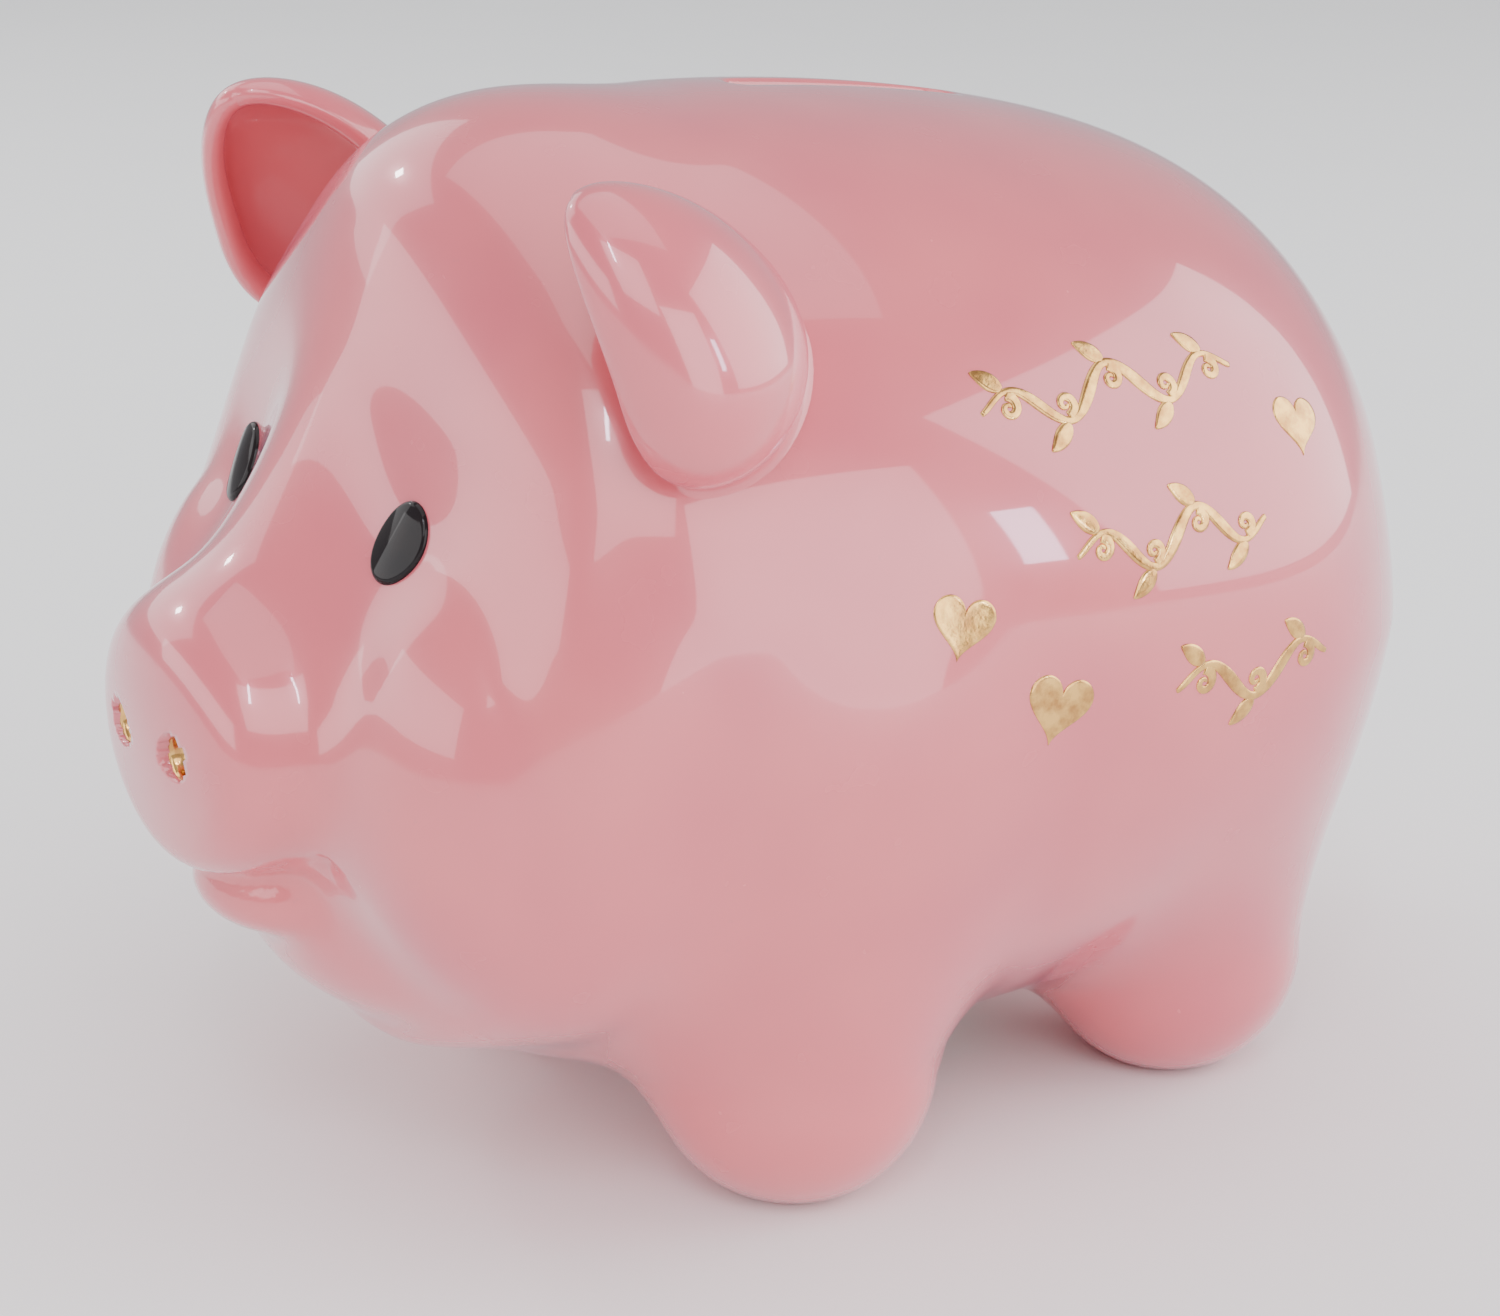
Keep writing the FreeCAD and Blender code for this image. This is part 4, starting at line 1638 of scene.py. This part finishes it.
class Bench:
    """A material's node tree, with short calls for the nodes these finishes use.

    Sizes of noise are in millimetres, and most of its values lie within NOISE_SPAN.
    """

    def __init__(self, name: str) -> None:
        """Start a material with an empty tree, a shader and an output.

        Args:
            name: Name of the material.
        """
        self.material = bpy.data.materials.new(name)
        self.material.use_nodes = True
        self.tree = self.material.node_tree
        self.tree.nodes.clear()
        self.shader = self.tree.nodes.new("ShaderNodeBsdfPrincipled")
        output = self.tree.nodes.new("ShaderNodeOutputMaterial")
        self.tree.links.new(self.shader.outputs["BSDF"], output.inputs["Surface"])
        self.place = self.tree.nodes.new("ShaderNodeTexCoord").outputs["Object"]

    def link(self, source: Socket, target: Socket) -> None:
        """Join two sockets."""
        self.tree.links.new(source, target)

    def feed(self, name: str, source: Socket) -> None:
        """Join a value to one of the shader's sockets."""
        self.link(source, self.shader.inputs[name])

    def noise(self, size_mm: float, detail: float = 3.0, roughness: float = 0.5) -> Socket:
        """Noise whose features are about a size across, from 0 to 1.

        Args:
            size_mm: Size of its features, in millimetres.
            detail: How many finer layers it has.
            roughness: How strong the finer layers are.

        Returns:
            The noise.
        """
        node = self.tree.nodes.new("ShaderNodeTexNoise")
        node.inputs["Scale"].default_value = 1.0 / (size_mm * MM)
        node.inputs["Detail"].default_value = detail
        node.inputs["Roughness"].default_value = roughness
        self.link(self.place, node.inputs["Vector"])
        return node.outputs["Fac"]

    def cells(self, size_mm: float) -> Socket:
        """Distance to the nearest of scattered points about a size apart.

        Args:
            size_mm: Distance between the points, in millimetres.

        Returns:
            The distance.
        """
        node = self.tree.nodes.new("ShaderNodeTexVoronoi")
        node.inputs["Scale"].default_value = 1.0 / (size_mm * MM)
        self.link(self.place, node.inputs["Vector"])
        return node.outputs["Distance"]

    def value(self, attribute: str) -> Socket:
        """A point value stored on the mesh."""
        node = self.tree.nodes.new("ShaderNodeAttribute")
        node.attribute_name = attribute
        return node.outputs["Fac"]

    def spread(self, source: Socket, low: float, high: float,
               out_low: float = 0.0, out_high: float = 1.0) -> Socket:
        """A value carried from one range to another and kept within it.

        Args:
            source: The value.
            low: Start of its range.
            high: End of its range.
            out_low: What the start becomes.
            out_high: What the end becomes.

        Returns:
            The carried value.
        """
        node = self.tree.nodes.new("ShaderNodeMapRange")
        node.inputs["From Min"].default_value = low
        node.inputs["From Max"].default_value = high
        node.inputs["To Min"].default_value = out_low
        node.inputs["To Max"].default_value = out_high
        self.link(source, node.inputs["Value"])
        return node.outputs["Result"]

    def mix(self, share: Socket, first: Sequence[float] | Socket,
            second: Sequence[float] | Socket) -> Socket:
        """Colour between two colours.

        Args:
            share: 0 for the first colour and 1 for the second.
            first: A colour, or a socket that gives one.
            second: The same.

        Returns:
            The mixed colour.
        """
        node = self.tree.nodes.new("ShaderNodeMix")
        node.data_type = "RGBA"
        self.link(share, node.inputs["Factor"])
        for name, colour in (("A", first), ("B", second)):
            socket = next(s for s in node.inputs if s.name == name and s.type == "RGBA")
            if isinstance(colour, Socket):
                self.link(colour, socket)
            else:
                socket.default_value = (*colour, 1.0)
        return next(s for s in node.outputs if s.type == "RGBA")

    def sum(self, first: Socket, second: Socket, share: float) -> Socket:
        """First value plus a share of the second.

        Args:
            first: First value.
            second: Second value.
            share: What the second is multiplied by.

        Returns:
            The sum.
        """
        node = self.tree.nodes.new("ShaderNodeMath")
        node.operation = "MULTIPLY_ADD"
        self.link(second, node.inputs[0])
        node.inputs[1].default_value = share
        self.link(first, node.inputs[2])
        return node.outputs[0]

    def bump(self, height: Socket, depth_mm: float, strength: float = 1.0) -> None:
        """Relief of a depth, on the shader's normal.

        Args:
            height: Value that rises and falls.
            depth_mm: Depth for a change of one, in millimetres.
            strength: Share of the relief that is used.
        """
        node = self.tree.nodes.new("ShaderNodeBump")
        node.inputs["Distance"].default_value = depth_mm * MM
        node.inputs["Strength"].default_value = strength
        self.link(height, node.inputs["Height"])
        self.link(node.outputs["Normal"], self.shader.inputs["Normal"])

    def set(self, **values: object) -> None:
        """Set the shader's own sockets; an underscore stands for a space."""
        for name, value in values.items():
            self.shader.inputs[name.replace("_", " ")].default_value = value


@dataclass(frozen=True)
class PinkGlaze:
    """Pearly pink glaze over pale clay, which shows where nothing was glazed."""

    thick: tuple[float, float, float] = (0.65, 0.115, 0.152)
    thin: tuple[float, float, float] = (0.74, 0.150, 0.172)
    clay: tuple[float, float, float] = (0.70, 0.60, 0.52)
    freckle: tuple[float, float, float] = (0.42, 0.15, 0.17)
    sheen: tuple[float, float, float] = (0.62, 0.45, 0.90)
    roughness: tuple[float, float] = (0.20, 0.28)
    clay_roughness: float = 0.55
    cloud_size: float = 34.0
    cloud_span: tuple[float, float] = (0.32, 0.68)
    freckle_size: float = 0.9
    freckle_span: tuple[float, float] = (0.74, 0.82)
    freckle_strength: float = 0.12
    gloss_size: float = 9.0
    ripple_size: float = 5.5
    ripple_depth: float = 0.02
    pinhole_size: float = 1.1
    pinhole_share: float = 0.12

    def make(self) -> bpy.types.Material:
        """Cloudy pink with faint freckles, a clear coat and a little violet sheen.

        Returns:
            The material.
        """
        bench = Bench("pink_glaze_over_clay")
        cloud = bench.spread(bench.noise(self.cloud_size, 2.0), *self.cloud_span)
        pink = bench.mix(cloud, self.thick, self.thin)
        specks = bench.noise(self.freckle_size, 1.0)
        freckle = bench.spread(specks, *self.freckle_span, 0.0, self.freckle_strength)
        pink = bench.mix(freckle, pink, self.freckle)
        bare = bench.value("bare")
        bench.feed("Base Color", bench.mix(bare, pink, self.clay))
        gloss = bench.spread(bench.noise(self.gloss_size), *NOISE_SPAN, *self.roughness)
        bench.feed("Roughness", bench.sum(gloss, bare, self.clay_roughness))
        pinholes = bench.noise(self.pinhole_size, 1.0)
        bench.bump(bench.sum(bench.noise(self.ripple_size, 2.0), pinholes, self.pinhole_share),
                   self.ripple_depth)
        bench.set(Coat_Weight=1.0, Coat_Roughness=0.035, Coat_IOR=1.55, Sheen_Weight=0.05,
                  Sheen_Roughness=0.4, Sheen_Tint=(*self.sheen, 1.0), Metallic=0.05)
        return bench.material


@dataclass(frozen=True)
class BlackEnamel:
    """Glossy black enamel."""

    black: tuple[float, float, float] = (0.005, 0.005, 0.007)
    brown: tuple[float, float, float] = (0.016, 0.010, 0.010)
    roughness: tuple[float, float] = (0.03, 0.07)
    cloud_size: float = 3.0
    gloss_size: float = 1.5
    ripple_size: float = 2.6
    ripple_depth: float = 0.008

    def make(self) -> bpy.types.Material:
        """Near black with a faint brown cloud and a dim gloss.

        Returns:
            The material.
        """
        bench = Bench("black_enamel")
        bench.feed("Base Color", bench.mix(bench.noise(self.cloud_size), self.black, self.brown))
        bench.feed("Roughness", bench.spread(bench.noise(self.gloss_size), *NOISE_SPAN, *self.roughness))
        bench.bump(bench.noise(self.ripple_size, 1.0), self.ripple_depth)
        bench.set(Specular_IOR_Level=0.22)
        return bench.material


@dataclass(frozen=True)
class GoldLustre:
    """Fired gold lustre: bright, a little uneven, darker where the brush left it thin."""

    bright: tuple[float, float, float] = (0.86, 0.50, 0.15)
    dark: tuple[float, float, float] = (0.50, 0.24, 0.07)
    roughness: tuple[float, float] = (0.10, 0.24)
    cloud_size: float = 2.6
    cloud_span: tuple[float, float] = (0.36, 0.62)
    gloss_size: float = 0.9
    ripple_size: float = 1.4
    ripple_depth: float = 0.03
    brush_size: float = 0.3
    brush_share: float = 0.2

    def make(self) -> bpy.types.Material:
        """Metal with cloudy colour and brushed-out roughness.

        Returns:
            The material.
        """
        bench = Bench("gold_lustre")
        cloud = bench.spread(bench.noise(self.cloud_size, 4.0, 0.6), *self.cloud_span)
        bench.feed("Base Color", bench.mix(cloud, self.dark, self.bright))
        bench.feed("Roughness", bench.spread(bench.noise(self.gloss_size), *NOISE_SPAN, *self.roughness))
        brushing = bench.noise(self.brush_size, 1.0)
        bench.bump(bench.sum(bench.noise(self.ripple_size, 2.0), brushing, self.brush_share),
                   self.ripple_depth)
        bench.set(Metallic=1.0, Coat_Weight=0.3, Coat_Roughness=0.05)
        return bench.material


@dataclass(frozen=True)
class SoftRubber:
    """Cream moulded rubber with a matt skin."""

    cream: tuple[float, float, float] = (0.74, 0.71, 0.64)
    shade: tuple[float, float, float] = (0.62, 0.58, 0.50)
    roughness: tuple[float, float] = (0.48, 0.62)
    cloud_size: float = 7.0
    gloss_size: float = 1.2
    cell_size: float = 0.5
    grain_size: float = 0.25
    grain_share: float = 0.5
    grain_depth: float = 0.02

    def make(self) -> bpy.types.Material:
        """Cream with a faint cloud and a fine moulded grain.

        Returns:
            The material.
        """
        bench = Bench("soft_rubber")
        bench.feed("Base Color", bench.mix(bench.noise(self.cloud_size, 4.0), self.shade, self.cream))
        bench.feed("Roughness", bench.spread(bench.noise(self.gloss_size), *NOISE_SPAN, *self.roughness))
        grain = bench.noise(self.grain_size, 2.0)
        bench.bump(bench.sum(bench.cells(self.cell_size), grain, self.grain_share), self.grain_depth)
        bench.set(Sheen_Weight=0.08)
        return bench.material


class Finish(Enum):
    """The finishes of the bank, by the record's material slots."""

    PINK = "pink_glaze"
    RUBBER = "soft_rubber"
    BLACK = "black_enamel"
    GOLD = "gold_lustre"


@dataclass
class Wardrobe:
    """Dresses finished pieces and hands them to the frame."""

    materials: dict[Finish, bpy.types.Material]

    @classmethod
    def fill(cls) -> "Wardrobe":
        """Make every finish once."""
        makers = {Finish.PINK: PinkGlaze(), Finish.RUBBER: SoftRubber(),
                  Finish.BLACK: BlackEnamel(), Finish.GOLD: GoldLustre()}
        return cls({finish: maker.make() for finish, maker in makers.items()})

    def dress(self, piece: bpy.types.Object, node: str, finish: Finish, body: str = BODY) -> None:
        """Give a piece its finish, its body and the node that it stands for.

        Args:
            piece: The finished piece.
            node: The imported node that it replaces.
            finish: Its finish.
            body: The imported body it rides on.
        """
        piece.data.materials.append(self.materials[finish])
        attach(piece, body)
        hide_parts(node)
        LOG.info("%s stands for %s on %s, %d faces", piece.name, node, body, len(piece.data.polygons))


# --------------------------------------------------------------------------- studio


@dataclass(frozen=True)
class Camera:
    """The camera's place, as angles and distance round the point it looks at."""

    azimuth: float = math.radians(56.22)
    elevation: float = math.radians(19.33)
    distance: float = 437.2
    target: tuple[float, float, float] = (0.0, -2.43, 59.5)
    lens: float = 76.6
    near_clip: float = 0.01

    def place(self) -> bpy.types.Object:
        """Make the camera and set it as the scene's.

        Returns:
            The camera.
        """
        back = direction(self.azimuth, self.elevation)
        data = bpy.data.cameras.new("studio_camera")
        data.lens = self.lens
        data.clip_start = self.near_clip
        camera = bpy.data.objects.new("studio_camera", data)
        bpy.context.scene.collection.objects.link(camera)
        camera.location = (np.array(self.target) + back * self.distance) * MM
        camera.rotation_euler = Vector(back).to_track_quat("Z", "Y").to_euler()
        bpy.context.scene.camera = camera
        return camera


def direction(azimuth: float, elevation: float) -> Array:
    """Unit direction for an azimuth turned from the pig's front towards its left, and a height.

    Args:
        azimuth: Turn from the front, in radians.
        elevation: Angle above the floor, in radians.

    Returns:
        The direction.
    """
    level = math.cos(elevation)
    return np.array([math.sin(azimuth) * level, -math.cos(azimuth) * level, math.sin(elevation)])


@dataclass(frozen=True)
class Softbox:
    """A rectangular soft light that faces the pig."""

    name: str
    azimuth: float
    elevation: float
    width: float
    height: float
    power: float
    distance: float = 1.1
    colour: tuple[float, float, float] = (1.0, 1.0, 1.0)

    def place(self, target: Array) -> None:
        """Hang the light in its direction from the target, in metres.

        Args:
            target: Point that the light faces.
        """
        out = direction(math.radians(self.azimuth), math.radians(self.elevation))
        data = bpy.data.lights.new(self.name, "AREA")
        data.shape = "RECTANGLE"
        data.size, data.size_y = self.width, self.height
        data.energy = self.power
        data.color = self.colour
        light = bpy.data.objects.new(self.name, data)
        bpy.context.scene.collection.objects.link(light)
        light.location = target + out * self.distance
        light.rotation_euler = Vector(out).to_track_quat("Z", "Y").to_euler()


@dataclass
class Studio:
    """Pale floor, soft lights, and a pale surround."""

    lights: tuple[Softbox, ...] = (
        Softbox("front_window", -8.0, 15.0, 1.5, 0.4, 5.0),
        Softbox("far_window", -66.0, 33.0, 1.0, 0.75, 4.4),
        Softbox("round_lamp", -60.0, 37.0, 0.07, 0.07, 0.8),
        Softbox("near_window", 60.0, 38.0, 0.6, 0.6, 3.3),
        Softbox("side_window", 95.0, 10.0, 0.56, 0.75, 4.6),
        Softbox("flank_window", 150.0, 20.0, 1.15, 0.85, 11.0),
        Softbox("cool_pane", 115.0, 12.5, 0.07, 0.2, 0.9, colour=(0.72, 0.80, 1.0)),
        Softbox("slim_lamp", 51.0, 48.0, 0.03, 0.24, 0.9, colour=(0.86, 0.84, 1.0)),
        Softbox("overhead", 180.0, 88.0, 2.4, 2.4, 26.0, 2.4),
    )
    surround: tuple[float, float, float] = (0.97, 0.97, 1.0)
    surround_strength: float = 0.62
    floor_half: float = 4.0
    floor_height: float = -0.02
    floor_lines: int = 9
    paper_cloud: float = 60.0
    paper_roughness: float = 0.9
    paper: tuple[tuple[float, float, float], ...] = ((0.87, 0.87, 0.88), (0.90, 0.90, 0.90))

    def floor(self) -> None:
        """Lay the floor: a wide sheet with a matt pale finish."""
        steps = np.linspace(-self.floor_half, self.floor_half, self.floor_lines) / MM
        x, y = np.meshgrid(steps, steps, indexing="ij")
        parts = MeshParts()
        parts.add_grid(parts.add_points(np.stack([x, y, np.full_like(x, self.floor_height)], axis=-1)))
        floor = parts.build("studio_floor")
        if floor.data.polygons[0].normal.z < 0.0:
            floor.data.flip_normals()
        bench = Bench("pale_paper")
        bench.feed("Base Color", bench.mix(bench.noise(self.paper_cloud), *self.paper))
        bench.set(Roughness=self.paper_roughness)
        floor.data.materials.append(bench.material)
        floor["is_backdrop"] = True

    def surround_light(self) -> None:
        """Give the world an even pale light."""
        world = bpy.data.worlds.new("pale_surround")
        world.use_nodes = True
        ground = world.node_tree.nodes["Background"]
        ground.inputs["Color"].default_value = (*self.surround, 1.0)
        ground.inputs["Strength"].default_value = self.surround_strength
        bpy.context.scene.world = world

    def place(self) -> None:
        """Set up the whole studio round the middle of the object."""
        low, high = (np.array(corner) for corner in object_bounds())
        self.floor()
        self.surround_light()
        for light in self.lights:
            light.place((low + high) / 2.0)


# --------------------------------------------------------------------------- assembly


# Centre, outward direction, tilt in degrees and size of each heart on the left flank.
HEARTS = {
    "front_heart": ((62.3, -13.6, 83.5), (0.962, -0.098, 0.256), -17.0, 8.6),
    "lower_heart": ((64.9, -0.7, 71.2), (0.999, 0.0, 0.05), -17.0, 9.6),
    "rear_heart": ((57.0, 42.8, 98.6), (0.851, 0.23, 0.473), -14.0, 8.6),
}

# Centre, outward direction, length and number of crests of each vine on the left flank.
VINES = {
    "upper_wave": ((54.5, 14.0, 107.0), (0.82, 0.03, 0.57), 40.0, 5),
    "middle_wave": ((62.6, 18.0, 89.5), (0.95, 0.03, 0.31), 30.0, 4),
    "lower_wave": ((65.5, 30.0, 70.5), (0.99, 0.08, 0.05), 26.0, 3),
}


@dataclass
class PigBank:
    """The whole bank, piece by piece."""

    wardrobe: Wardrobe
    form: BodyForm = field(default_factory=BodyForm)

    def body_and_limbs(self) -> None:
        """The casting, both ears and the tail."""
        dress = self.wardrobe.dress
        dress(HollowBody(self.form).build(), "body_shell", Finish.PINK)
        ear = Ear(self.form)
        dress(ear.build("left_ear_leaf", 1.0), "left_ear", Finish.PINK)
        dress(ear.build("right_ear_leaf", -1.0), "right_ear", Finish.PINK)
        dress(Tail().build(), "tail", Finish.PINK)

    def face(self) -> None:
        """Eyes and nostrils."""
        for side, mark in ((1.0, "left"), (-1.0, "right")):
            eye = Eye(self.form).build(mark + "_eye_drop", side)
            self.wardrobe.dress(eye, mark + "_eye", Finish.BLACK)
            nostril = Nostril().build(mark + "_nostril_gilt", side)
            self.wardrobe.dress(nostril, mark + "_nostril", Finish.GOLD)

    def ornament(self) -> None:
        """Gold hearts and vines on the left flank."""
        for node, (centre, outward, tilt, size) in HEARTS.items():
            heart = GoldHeart(self.form, centre, outward, math.radians(tilt), size=size)
            self.wardrobe.dress(heart.build(node + "_gilt"), node, Finish.GOLD)
        for node, (centre, outward, length, crests) in VINES.items():
            vine = GoldScroll(self.form, centre, outward, length=length, crests=crests)
            self.wardrobe.dress(vine.build(node + "_vine"), node, Finish.GOLD)

    def plug(self) -> None:
        """The rubber stopper."""
        self.wardrobe.dress(Stopper().build(), "stopper", Finish.RUBBER, PLUG_BODY)


def main() -> None:
    """Build the bank and its studio."""
    logging.basicConfig(level=logging.INFO, format="%(name)s: %(message)s")
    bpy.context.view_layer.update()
    bank = PigBank(Wardrobe.fill())
    Camera().place()
    Studio().place()
    bank.body_and_limbs()
    bank.face()
    bank.ornament()
    bank.plug()


if __name__ == "__main__":
    main()
